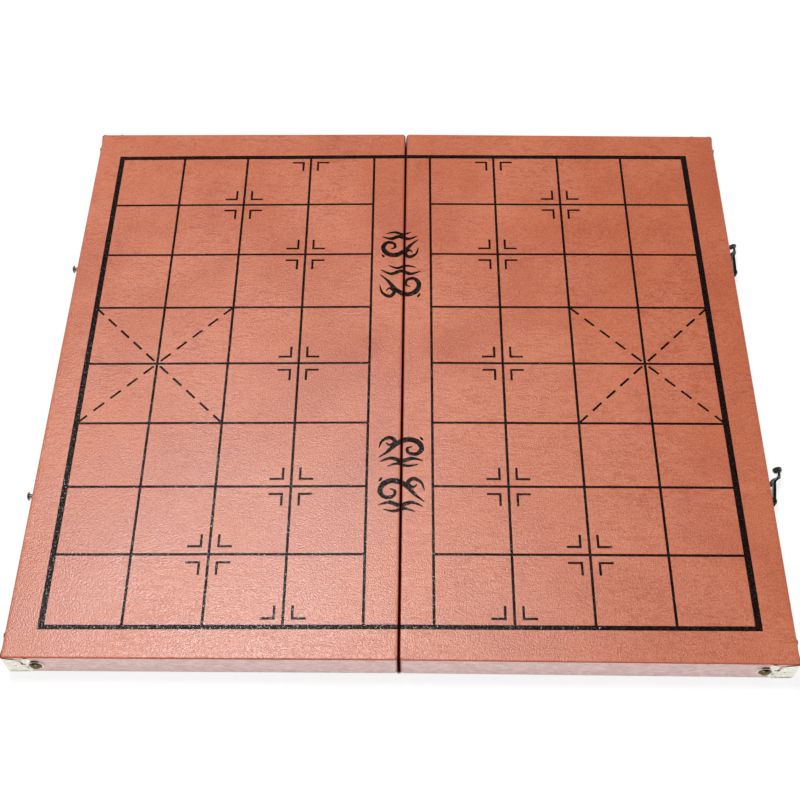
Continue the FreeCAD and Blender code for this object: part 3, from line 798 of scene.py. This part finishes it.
# %% Brush strokes
WAVE_STROKES = [
    (
        [
            (-1.0, -0.42), (-0.62, -0.05), (-0.20, 0.50), (0.30, 0.80), (0.76, 0.62),
            (0.93, 0.18), (0.70, -0.17), (0.34, -0.10), (0.28, 0.20), (0.50, 0.32),
        ],
        [0.5, 2.2, 3.5, 4.1, 3.9, 3.4, 2.9, 2.3, 1.9, 0.8],
    ),
    (
        [(-1.0, 0.22), (-0.86, 0.70), (-0.50, 0.92), (-0.27, 0.66), (-0.50, 0.42), (-0.68, 0.58)],
        [0.5, 2.0, 3.0, 2.6, 1.8, 0.8],
    ),
    (
        [(-0.95, -0.70), (-0.45, -0.46), (0.05, -0.64), (0.50, -0.47), (1.0, -0.62)],
        [0.5, 2.6, 3.2, 2.7, 0.5],
    ),
    ([(-0.60, -1.0), (-0.15, -0.82), (0.30, -0.97), (0.78, -0.86)], [0.5, 2.2, 2.3, 0.5]),
    ([(1.0, 0.74), (0.92, 0.86), (0.86, 0.98)], [0.6, 1.9, 0.7]),
]
STEPS_PER_SPAN = 7


def brush(points, widths):
    """A smooth stroke through points: its middle line, and its uneven width along the way."""
    points = np.asarray(points, float)
    s = np.linspace(0, len(points) - 1, STEPS_PER_SPAN * (len(points) - 1) + 1)
    line = []
    for value in s:
        i = min(int(value), len(points) - 2)
        f = value - i
        p0 = points[max(i - 1, 0)]
        p1, p2 = points[i], points[i + 1]
        p3 = points[min(i + 2, len(points) - 1)]
        bend = 2 * p0 - 5 * p1 + 4 * p2 - p3
        line.append(0.5 * (2 * p1 + (p2 - p0) * f + bend * f**2 + (3 * p1 - p0 - 3 * p2 + p3) * f**3))
    uneven = 1 + 0.05 * np.sin(5.1 * s) + 0.04 * np.sin(11.3 * s + 1.0)
    return np.array(line), np.interp(s, np.arange(len(points)), widths) * uneven


def wave_ornament(width, height, turned, mirrored):
    """The strokes of one ornament about its middle, in millimetres."""
    flip = np.array([-1 if turned != mirrored else 1, -1 if turned else 1])
    scale = np.array([width, height]) / 2 * flip
    return [brush(np.array(points) * scale, widths) for points, widths in WAVE_STROKES]


print("strokes in one ornament", len(WAVE_STROKES))

# %% Ornaments on both halves
ORNAMENTS = [
    (-3.1, 104.9, 26.5, 25.0, True, False),
    (-2.8, 70.4, 29.0, 30.0, True, True),
    (-0.4, -73.3, 29.0, 23.0, False, False),
    (0.2, -105.8, 29.5, 25.5, False, True),
]


def stroke_sheet(side, middle, widths, lift):
    """A stroke of ink on one half, cut at the slit. None if all of it is on the other half."""
    sign = PRINT[side]["sign"]
    direction = np.gradient(middle, axis=0)
    direction /= np.linalg.norm(direction, axis=1)[:, None]
    across = np.column_stack([-direction[:, 1], direction[:, 0]]) * widths[:, None] / 2
    work = bmesh.new()
    rails = []
    for offset in (-across, np.zeros_like(across), across):
        rails.append([work.verts.new((sign * p[0], p[1], 0)) for p in middle + offset])
    for low, high in ((0, 1), (1, 2)):
        for k in range(len(middle) - 1):
            corners = (rails[low][k], rails[low][k + 1], rails[high][k + 1], rails[high][k])
            work.faces.new(corners if sign > 0 else tuple(reversed(corners)))
    for step_in in (0.0, 0.2, 0.45, 0.8):
        geometry = work.verts[:] + work.edges[:] + work.faces[:]
        plane = {"plane_co": (CUT_X + step_in, 0, 0), "plane_no": (-1, 0, 0)}
        bmesh.ops.bisect_plane(work, geom=geometry, clear_outer=step_in == 0.0, **plane)
    work.verts.index_update()
    flat = [(v.co.x, v.co.y) for v in work.verts]
    faces = [[v.index for v in f.verts] for f in work.faces]
    work.free()
    return closed_sheet(flat, faces, lift) if faces else None


for x, y, wide, high, turned, mirrored in ORNAMENTS:
    for order, (line, width) in enumerate(wave_ornament(wide, high, turned, mirrored)):
        for side in PRINT:
            sheet = stroke_sheet(side, line + np.array([x, y]), width, INK_LIFT + 0.006 * order)
            if sheet:
                sheets[side].append(sheet)
print("sheets on the right half", len(sheets["right"]))

# %% Join the print of each half
def joined(parts):
    """Several point and face lists as one."""
    points, faces, start = [], [], 0
    for p, f in parts:
        points.append(p)
        faces += [[k + start for k in face] for face in f]
        start += len(p)
    return np.vstack(points), faces


for side in PRINT:
    points, faces = joined(sheets[side])
    piece = new_piece(f"{side}_print", points, faces, side, f"{side}_half", ink)
    piece.data.polygons.foreach_set("use_smooth", [False] * len(piece.data.polygons))
    print(side, "print has", len(faces), "faces")

# %% [markdown]
# ## Metals
#
# The fittings are plated, stamped or cast metal that has been handled. All of them show the same
# things in different amounts: cloudy tarnish and fine scratches. That is one shared group,
# and each metal is a Principled shader with its own colours. Some of them then get painted shade
# and painted dark reflections on top.

# %% Metal wear group
metal_wear, metal_in, metal_out = new_group(
    "metal_wear",
    [("Vector", VECTOR, None), ("Tarnish", FLOAT, 0.5), ("Scratch Scale", FLOAT, 900.0)],
    [("Tarnish", FLOAT), ("Scratches", FLOAT), ("Height", FLOAT)],
)
where = metal_in.outputs["Vector"]
cloud = noise(metal_wear, where, 320.0, 5.0, 0.6)
spots = noise(metal_wear, where, 1400.0, 3.0, 0.6)
both = math_node(metal_wear, "ADD", cloud, math_node(metal_wear, "MULTIPLY", spots, 0.5))
tarnish = math_node(
    metal_wear, "MULTIPLY", ramp(metal_wear, both, 0.62, 0.92), metal_in.outputs["Tarnish"]
)
scratches = noise(
    metal_wear, where, metal_in.outputs["Scratch Scale"], 3.0, 0.6, stretch=(0.15, 1.0, 1.6)
)
metal_wear.links.new(tarnish, metal_out.inputs["Tarnish"])
metal_wear.links.new(ramp(metal_wear, scratches, 0.45, 0.62), metal_out.inputs["Scratches"])
metal_wear.links.new(
    math_node(metal_wear, "ADD", math_node(metal_wear, "MULTIPLY", scratches, 0.4), both),
    metal_out.inputs["Height"],
)


def metal(name, clean, dirty, tarnish_amount, rough_low, rough_high, depth, metallic=1.0):
    """A plated or patinated metal."""
    material, tree, shader = new_material(name)
    place = add(tree, "ShaderNodeTexCoord").outputs["Object"]
    wear = place_group(tree, metal_wear, {"Vector": place, "Tarnish": tarnish_amount})
    colour = mix_colour(tree, wear.outputs["Tarnish"], clean, dirty)
    tree.links.new(colour, shader.inputs["Base Color"])
    rough = ramp(tree, wear.outputs["Scratches"], 0.0, 1.0, rough_low, rough_high)
    tree.links.new(rough, shader.inputs["Roughness"])
    tree.links.new(bump(tree, wear.outputs["Height"], depth), shader.inputs["Normal"])
    shader.inputs["Metallic"].default_value = metallic
    return material


guard_metal = metal(
    "stamped_guard_metal", (0.90, 0.88, 0.79, 1), (0.56, 0.49, 0.36, 1), 0.45, 0.26, 0.42, 0.00002
)
hinge_steel = metal(
    "hinge_steel", (0.62, 0.61, 0.56, 1), (0.28, 0.24, 0.18, 1), 0.5, 0.28, 0.45, 0.00002
)
nail_bronze = metal(
    "nail_bronze", (0.165, 0.125, 0.060, 1), (0.060, 0.042, 0.020, 1), 0.7, 0.16, 0.26, 0.00001
)
catch_bronze = metal(
    "catch_bronze", (0.036, 0.032, 0.028, 1), (0.010, 0.009, 0.008, 1), 0.7, 0.17, 0.30, 0.00002
)
stud_bronze = metal(
    "stud_bronze", (0.22, 0.165, 0.12, 1), (0.085, 0.055, 0.035, 1), 0.6, 0.20, 0.36, 0.00002
)
print("metals ready")

# %% Painted shade on the metals
def add_painted_shade(material, mask, tree, colour, rough=0.85):
    """Lays a dull dark colour over a metal where a mask says so; it paints shade on the hinge and a dark reflection
    on the guards.
    """
    shader = tree.nodes["Principled BSDF"]
    under = {key: shader.inputs[key].links[0].from_socket for key in ("Base Color", "Roughness")}
    tree.links.new(mix_colour(tree, mask, under["Base Color"], colour), shader.inputs["Base Color"])
    tree.links.new(
        ramp(tree, mask, 0.0, 1.0, under["Roughness"], rough), shader.inputs["Roughness"]
    )
    tree.links.new(ramp(tree, mask, 0.0, 0.5, 1.0, 0.0), shader.inputs["Metallic"])


# Painted shade: the hinge is painted near black maroon inside the slit, above the pin, where the gap is in shade.
tree = hinge_steel.node_tree
place = add(tree, "ShaderNodeTexCoord").outputs["Object"]
slit = place_group(tree, slit_wear_and_shade, {"Vector": place})
apart = add(tree, "ShaderNodeSeparateXYZ", {"Vector": place})
above_pin = ramp(tree, apart.outputs["Z"], 0.0012, 0.0020)
normal = add(tree, "ShaderNodeSeparateXYZ", {"Vector": add(tree, "ShaderNodeTexCoord").outputs["Normal"]})
far_along = math_node(tree, "ABSOLUTE", apart.outputs["Y"], 0.0)
upper = math_node(
    tree, "MAXIMUM", ramp(tree, apart.outputs["Z"], 0.0050, 0.0105), ramp(tree, far_along, 0.190, 0.206)
)
upper = math_node(tree, "MAXIMUM", upper, ramp(tree, normal.outputs["Z"], 0.30, 0.75))
in_slit = math_node(tree, "MULTIPLY", slit.outputs["Shade And Grime"], above_pin)
in_slit = math_node(tree, "MULTIPLY", in_slit, upper)
add_painted_shade(hinge_steel, in_slit, tree, (0.030, 0.004, 0.002, 1))

# Painted reflection: the guard's upward faces are painted dark maroon, for the dark leather they reflect.
tree = guard_metal.node_tree
coordinates = add(tree, "ShaderNodeTexCoord")
up = add(tree, "ShaderNodeSeparateXYZ", {"Vector": coordinates.outputs["Normal"]}).outputs["Z"]
add_painted_shade(guard_metal, ramp(tree, up, 0.78, 0.95), tree, (0.09, 0.010, 0.006, 1))

# Painted reflection: the upper part of each nail's dome is painted near black, for the dark leather above it that
# it reflects.
tree = nail_bronze.node_tree
coordinates = add(tree, "ShaderNodeTexCoord")
up = add(tree, "ShaderNodeSeparateXYZ", {"Vector": coordinates.outputs["Normal"]}).outputs["Z"]
under = nail_bronze.node_tree.nodes["Principled BSDF"].inputs["Base Color"]
painted_dark_reflection = mix_colour(tree, ramp(tree, up, 0.52, 0.70), under.links[0].from_socket, (0.012, 0.008, 0.005, 1))
tree.links.new(painted_dark_reflection, under)
# Painted shade on the hinge in the slit, and painted dark reflections on the nails' tops and the guards' upward
# faces.
print("grime laid on the hinge, the nails and the cut edges of the guards")

# %% Put the metals on the CAD pieces
def dress(node, material):
    """Gives a CAD node its material."""
    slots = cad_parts[node].data.materials
    slots.clear()
    slots.append(material)


for side in ("left", "right"):
    for end in ("front", "back"):
        dress(f"{side}_{end}_corner_nails", nail_bronze)
    dress(f"{side}_hinge_leaf", hinge_steel)
    dress(f"{side}_hinge_screws", hinge_steel)
    dress(f"{side}_rim_hem", leather)
dress("hinge_pin", hinge_steel)
for end in ("front", "back"):
    dress(f"{end}_catch_stud", stud_bronze)
    dress(f"{end}_hook_nail", catch_bronze)
    dress(f"{end}_hook_ferrule", catch_bronze)
print("metal nodes dressed")

# %% [markdown]
# ## Softened castings and stampings
#
# A real hook is cast and tumbled, and a real guard is pressed, so neither has a knife edge. The
# CAD solids have the right outline but sharp edges. A bevel modifier could round them live, but a
# copy that is cleaned and bevelled once is simpler: the triangles of each flat face are joined
# again, and every sharp edge is cut back by a small amount.

# %% Softened copies
def softened(node, name, body, material, width, sharp=35.0):
    """A copy of a CAD node with its flat faces joined and its sharp edges rounded."""
    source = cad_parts[node]
    work = bmesh.new()
    work.from_mesh(source.data)
    bmesh.ops.remove_doubles(work, verts=work.verts[:], dist=0.00001)
    bmesh.ops.dissolve_limit(
        work, angle_limit=math.radians(1.0), verts=work.verts[:], edges=work.edges[:]
    )
    edges = [e for e in work.edges if len(e.link_faces) == 2]
    edges = [e for e in edges if e.calc_face_angle() > math.radians(sharp)]
    bmesh.ops.bevel(
        work, geom=edges, offset=width * MM, segments=2, profile=0.5, affect="EDGES",
        clamp_overlap=True, offset_type="OFFSET",
    )
    bmesh.ops.triangulate(work, faces=[f for f in work.faces if len(f.verts) > 4])
    for face in work.faces:
        face.smooth = True
    mesh = bpy.data.meshes.new(name)
    work.to_mesh(mesh)
    work.free()
    mesh.materials.append(material)
    piece = bpy.data.objects.new(name, mesh)
    bpy.context.scene.collection.objects.link(piece)
    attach(piece, body)
    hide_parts(node)
    return piece


EYE_RADIUS = 3.4
TWIST_START = 12.5
CURL_CENTRE = 28.0
TWIST_END = 22.0
TWIST = math.radians(62.0)
TWIST_LINE_DROP = {"front": 2.3, "back": 0.0}


def twist_tail(piece, drop):
    """Twists the tail of a hook about a line along it, until its curl lies nearly face up."""
    work = bmesh.new()
    work.from_mesh(piece.data)
    pivot = min(v.co.y for v in work.verts) + EYE_RADIUS * MM

    def centre(distance):
        """The middle of the arm at a distance from its pivot."""
        near = [v.co for v in work.verts if abs(v.co.y - pivot - distance * MM) < 1.2 * MM]
        low = [min(p[axis] for p in near) for axis in (0, 2)]
        high = [max(p[axis] for p in near) for axis in (0, 2)]
        return Vector(((low[0] + high[0]) / 2, pivot + distance * MM, (low[1] + high[1]) / 2))

    for step in np.arange(TWIST_START, TWIST_END + 0.5, 0.8):
        everything = work.verts[:] + work.edges[:] + work.faces[:]
        bmesh.ops.bisect_plane(
            work, geom=everything, dist=1e-7, plane_co=(0, pivot + step * MM, 0), plane_no=(0, 1, 0)
        )
    start = centre(TWIST_START)
    line = (centre(CURL_CENTRE) - start).normalized()
    start.z -= drop * MM
    for vertex in work.verts:
        share = ((vertex.co.y - pivot) / MM - TWIST_START) / (TWIST_END - TWIST_START)
        share = min(max(share, 0.0), 1.0)
        turn = Matrix.Rotation(TWIST * share * share * (3 - 2 * share), 3, line)
        vertex.co = start + turn @ (vertex.co - start)
    bmesh.ops.triangulate(work, faces=[f for f in work.faces if len(f.verts) > 4])
    work.to_mesh(piece.data)
    work.free()


for end in ("front", "back"):
    hook = softened(
        f"{end}_hook_arm", f"{end}_cast_hook", f"{end}_hook", catch_bronze, 0.3
    )
    twist_tail(hook, TWIST_LINE_DROP[end])
    print(hook.name, "has", len(hook.data.polygons), "faces")

# %% [markdown]
# ## The relief of the guards
#
# The guards are stamped with a leaf and a scroll. The relief could be a bump in the material, but
# it stands 0.2 mm proud and catches the light from the side, so each line of it is a real domed
# bead on the plate. The beads are drawn once, as curves on a flange, by the distance from the
# corner and the height, and then laid on both flanges of all four guards. Behind the pinhole and
# the slot lies a dark pad, a painted shade for the inside of the holes, with some dirt.

# %% Beads on a flange
GUARD = 0.6
BEAD_HEIGHT = 0.24
GUARD_TOP = 20.2
EYELET = (19.4, 11.0)
PINHOLE = (13.8, 6.5)
SLOT = (12.2, 12.1)


def arc(centre, radius, start, end, count=9, shrink=0.0):
    """Points along a circle, or along a spiral if it shrinks."""
    points = []
    for k in range(count):
        share = k / (count - 1)
        angle = math.radians(start + (end - start) * share)
        r = radius * (1 - shrink * share)
        points.append((centre[0] + r * math.cos(angle), centre[1] + r * math.sin(angle)))
    return points


def even_widths(points, most, least=0.25):
    """Widths that swell from a thin start to the middle and thin out again."""
    share = np.linspace(0, 1, len(points))
    return list(least + (most - least) * np.sin(math.pi * share) ** 0.6)


GUARD_LINES = [
    [(2.4, 1.7), (6.0, 1.5), (10.5, 1.6), (13.2, 2.2), (15.4, 4.0)],
    [(2.4, 18.9), (5.2, 18.0), (7.8, 16.0), (9.4, 13.0), (9.9, 10.6)],
    [(2.6, 3.4), (4.0, 7.0), (4.6, 11.0), (5.8, 14.2), (7.6, 15.4)],
    [(4.3, 9.2), (3.3, 11.2), (2.6, 13.6)],
    [(4.6, 12.0), (3.8, 14.2), (2.8, 16.2)],
    [(4.5, 10.6), (5.8, 11.6), (6.8, 13.4)],
    arc((7.6, 7.2), 3.0, 200, -230, 17, 0.72),
    arc((11.6, 8.6), 1.5, 120, -150, 9, 0.5),
    arc(PINHOLE, 1.35, 0, 360, 13),
    [(11.0, 3.4), (12.8, 4.2), (15.0, 6.0)],
    arc((13.6, 17.0), 1.5, 200, -20, 8),
    arc((14.3, 16.6), 0.7, 160, -120, 7, 0.4),
]


def bead(points, widths, height):
    """A domed bead along a smooth curve, as (distance, height, outwards) points and faces."""
    line, width = brush(points, widths)
    width = np.interp(np.arange(len(line)), np.arange(len(line)), width)
    direction = np.gradient(line, axis=0)
    direction /= np.linalg.norm(direction, axis=1)[:, None]
    across = np.column_stack([-direction[:, 1], direction[:, 0]])
    profile = [(-0.5, -0.15), (-0.38, 0.55), (0.0, 1.0), (0.38, 0.55), (0.5, -0.15)]
    out = []
    for side_share, rise in profile:
        place = line + across * (width * side_share)[:, None]
        tall = rise * height * np.clip(width / width.max() + 0.25, 0.0, 1.0)
        out.append(np.column_stack([place, tall]))
    n = len(line)
    faces = []
    for row in range(5):
        a, b = row * n, ((row + 1) % 5) * n
        faces += [(a + k, a + k + 1, b + k + 1, b + k) for k in range(n - 1)]
    faces.append([row * n for row in range(5)])
    faces.append([row * n + n - 1 for row in reversed(range(5))])
    return np.vstack(out), faces


def pad(centre, half_length, radius, low, high):
    """A flat round-ended pad, as (distance, height, outwards) points and faces."""
    shape = arc((centre[0] + half_length, centre[1]), radius, -90, 90, 9)
    shape += arc((centre[0] - half_length, centre[1]), radius, 90, 270, 9)
    n = len(shape)
    points = [(u, v, w) for w in (low, high) for u, v in shape]
    faces = [tuple(reversed(range(n))), tuple(range(n, 2 * n))]
    faces += [(k, (k + 1) % n, n + (k + 1) % n, n + k) for k in range(n)]
    return np.array(points), faces


print("lines on each flange", len(GUARD_LINES))

# %% Dress the four guards
# Painted shade with some dirt: dark pads behind the pinhole and the slot.
hole_shade_paint, tree, shader = new_material("dark_hole_shade")
place = add(tree, "ShaderNodeTexCoord").outputs["Object"]
lumps = noise(tree, place, 1500.0, 3.0)
colour = mix_colour(tree, ramp(tree, lumps, 0.4, 0.6), (0.006, 0.004, 0.004, 1), (0.020, 0.010, 0.008, 1))
tree.links.new(colour, shader.inputs["Base Color"])
tree.links.new(ramp(tree, lumps, 0.3, 0.7, 0.6, 0.9), shader.inputs["Roughness"])
tree.links.new(bump(tree, lumps, 0.00005), shader.inputs["Normal"])


def on_flange(points, flange, end):
    """Puts (distance, height, outwards) points on the front or the end wall of a half."""
    u, z, out = points.T
    if flange == "front":
        flat = np.column_stack([OUTER_X - u, -HALF_DEPTH - GUARD - out, z])
    else:
        flat = np.column_stack([OUTER_X + GUARD + out, -HALF_DEPTH + u, z])
    return flat * np.array([1, -1 if end == "back" else 1, 1])


def relief_parts(end, shapes):
    """A set of shapes laid on both flanges of one guard."""
    parts = []
    for flange in ("front", "end"):
        for points, faces in shapes:
            turned = (flange == "front") != (end == "back")
            new_faces = [list(f) if turned else list(reversed(f)) for f in faces]
            parts.append((on_flange(points, flange, end), new_faces))
    return parts


beads = [bead(points, even_widths(points, 0.62), BEAD_HEIGHT) for points in GUARD_LINES]
pads = [pad(PINHOLE, 0.0, 0.95, -0.75, -0.50), pad((SLOT[0] + 0.4, SLOT[1]), 1.1, 0.62, -0.75, -0.50)]
for side in ("left", "right"):
    for end in ("front", "back"):
        body = f"{side}_half"
        guard = softened(
            f"{side}_{end}_corner_guard", f"{side}_{end}_stamped_guard", body,
            guard_metal, 0.10,
        )
        points, faces = joined(relief_parts(end, beads))
        relief = new_piece(
            f"{side}_{end}_guard_relief", points, faces, side, body, guard_metal
        )
        points, faces = joined(relief_parts(end, pads))
        new_piece(f"{side}_{end}_guard_hole_shade", points, faces, side, body, hole_shade_paint)
print("faces of one guard", len(guard.data.polygons), "and of its relief", len(relief.data.polygons))

# %% [markdown]
# ## Wood and lining
#
# Under the leather are a fibreboard panel and four softwood rails, and the hollow is lined with
# card covered in short flock. They are seen only from below.

# %% Wood materials
def wood(name, light, dark, ring_scale):
    """Plain wood: long grain along Y, with darker lines."""
    material, tree, shader = new_material(name)
    place = add(tree, "ShaderNodeTexCoord").outputs["Object"]
    lines = noise(tree, place, ring_scale, 5.0, 0.6, stretch=(1.0, 0.06, 1.0), distortion=0.4)
    fibre = noise(tree, place, ring_scale * 9, 3.0, 0.6, stretch=(1.0, 0.04, 1.0))
    both = math_node(tree, "ADD", lines, math_node(tree, "MULTIPLY", fibre, 0.5))
    colour = mix_colour(tree, ramp(tree, both, 0.55, 0.95), light, dark)
    tree.links.new(colour, shader.inputs["Base Color"])
    tree.links.new(ramp(tree, both, 0.5, 1.0, 0.62, 0.80), shader.inputs["Roughness"])
    tree.links.new(bump(tree, both, 0.00006), shader.inputs["Normal"])
    return material


rail_wood = wood("rail_wood", (0.62, 0.43, 0.24, 1), (0.42, 0.26, 0.12, 1), 160.0)
panel_board = wood("panel_board", (0.36, 0.23, 0.13, 1), (0.26, 0.16, 0.08, 1), 420.0)

# %% Flock material
flock, tree, shader = new_material("flock_lining")
place = add(tree, "ShaderNodeTexCoord").outputs["Object"]
fuzz = noise(tree, place, 2600.0, 3.0, 0.7)
drift = noise(tree, place, 30.0, 3.0, 0.6)
colour = mix_colour(tree, ramp(tree, fuzz, 0.35, 0.65), (0.055, 0.008, 0.010, 1), (0.14, 0.022, 0.026, 1))
colour = mix_colour(tree, ramp(tree, drift, 0.4, 0.7, 0.0, 0.35), colour, (0.17, 0.035, 0.035, 1))
tree.links.new(colour, shader.inputs["Base Color"])
tree.links.new(ramp(tree, drift, 0.3, 0.7, 0.85, 0.95), shader.inputs["Roughness"])
tree.links.new(bump(tree, fuzz, 0.00025), shader.inputs["Normal"])
shader.inputs["Sheen Weight"].default_value = 0.4
shader.inputs["Sheen Roughness"].default_value = 0.5

for side in ("left", "right"):
    dress(f"{side}_playing_panel", panel_board)
    for rail in ("spine", "outer", "front", "back"):
        dress(f"{side}_{rail}_rail", rail_wood)
    dress(f"{side}_lining", flock)
print("wood and lining dressed")

# %% [markdown]
# ## The white room
#
# The picture has a pure white ground. A photographer gets it from a sweep: a floor that curves up
# into a wall all round. Here the sweep gives its white to the camera, and to reflections, through
# the Light Path node, and it keeps part of its real shading, so a soft shadow stays under the
# board. The light on the object comes from a grey sky over the sweep and one large soft lamp.

# %% The sweep
SWEEP_PROFILE = [(0.0, 0.0), (1.0, 0.0), (2.5, 0.0), (4.0, 0.0)]
SWEEP_PROFILE += [
    (4.0 + math.sin(math.radians(a)), 1.0 - math.cos(math.radians(a))) for a in range(15, 91, 15)
]
SWEEP_PROFILE += [(5.0, 2.0), (5.0, 3.0)]
SWEEP_SIDES = 96


def sweep_mesh():
    """A round floor that curves up into a wall."""
    points = [(0.0, 0.0, 0.0)]
    faces = []
    for radius, height in SWEEP_PROFILE[1:]:
        for k in range(SWEEP_SIDES):
            angle = 2 * math.pi * k / SWEEP_SIDES
            points.append((radius * math.cos(angle), radius * math.sin(angle), height))
    for k in range(SWEEP_SIDES):
        faces.append((0, 1 + k, 1 + (k + 1) % SWEEP_SIDES))
    for level in range(len(SWEEP_PROFILE) - 2):
        for k in range(SWEEP_SIDES):
            a = 1 + level * SWEEP_SIDES + k
            b = 1 + level * SWEEP_SIDES + (k + 1) % SWEEP_SIDES
            faces.append((a, a + SWEEP_SIDES, b + SWEEP_SIDES, b))
    mesh = bpy.data.meshes.new("sweep")
    mesh.from_pydata(points, [], faces)
    mesh.polygons.foreach_set("use_smooth", [True] * len(mesh.polygons))
    return mesh


sweep = bpy.data.objects.new("sweep", sweep_mesh())
bpy.context.scene.collection.objects.link(sweep)
sweep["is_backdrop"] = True
sweep_paint, tree, shader = new_material("sweep_paint")
shader.inputs["Base Color"].default_value = (0.80, 0.80, 0.80, 1)
shader.inputs["Roughness"].default_value = 0.9
shader.inputs["Specular IOR Level"].default_value = 0.1
path = add(tree, "ShaderNodeLightPath")
seen = math_node(tree, "MAXIMUM", path.outputs["Is Camera Ray"], path.outputs["Is Glossy Ray"])
seen = math_node(tree, "MAXIMUM", seen, path.outputs["Is Transmission Ray"])
glow = add(tree, "ShaderNodeEmission", {"Color": (1, 1, 1, 1), "Strength": 1.1}).outputs[0]
share = math_node(tree, "MULTIPLY", seen, 0.75)
both = add(tree, "ShaderNodeMixShader", {0: share, 1: shader.outputs[0], 2: glow})
tree.links.new(both.outputs[0], tree.nodes["Material Output"].inputs["Surface"])
sweep.data.materials.append(sweep_paint)

# %% Sky and lamp
world = bpy.data.worlds.new("grey_sky")
bpy.context.scene.world = world
world.use_nodes = True
tree = world.node_tree
tree.nodes.clear()
light = add(tree, "ShaderNodeBackground", {"Color": (1, 1, 1, 1), "Strength": 0.25})
add(tree, "ShaderNodeOutputWorld", {"Surface": light.outputs[0]})


def soft_lamp(name, place, target, size, power, colour=(1, 1, 1)):
    """A square soft light that faces a point."""
    data = bpy.data.lights.new(name, "AREA")
    data.shape = "SQUARE"
    data.size = size
    data.energy = power
    data.color = colour
    lamp = bpy.data.objects.new(name, data)
    bpy.context.scene.collection.objects.link(lamp)
    lamp.location = place
    towards = np.array(target, float) - np.array(place, float)
    lamp.rotation_euler = Vector(towards).to_track_quat("-Z", "Y").to_euler()
    return lamp


soft_lamp("sheen_lamp", (-0.46, 0.58, 2.5), (0, 0, 0), 0.6, 46.8)
soft_lamp("front_window", (-0.30, -1.9, 0.60), (0, -0.2, 0), 1.1, 12.0)
print("room ready")

# %% [markdown]
# ## Finish
#
# The last cell prints the size of the dressed model's box.

low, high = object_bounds()
print("dressed box in mm", [round(1000 * v, 1) for v in high - low])
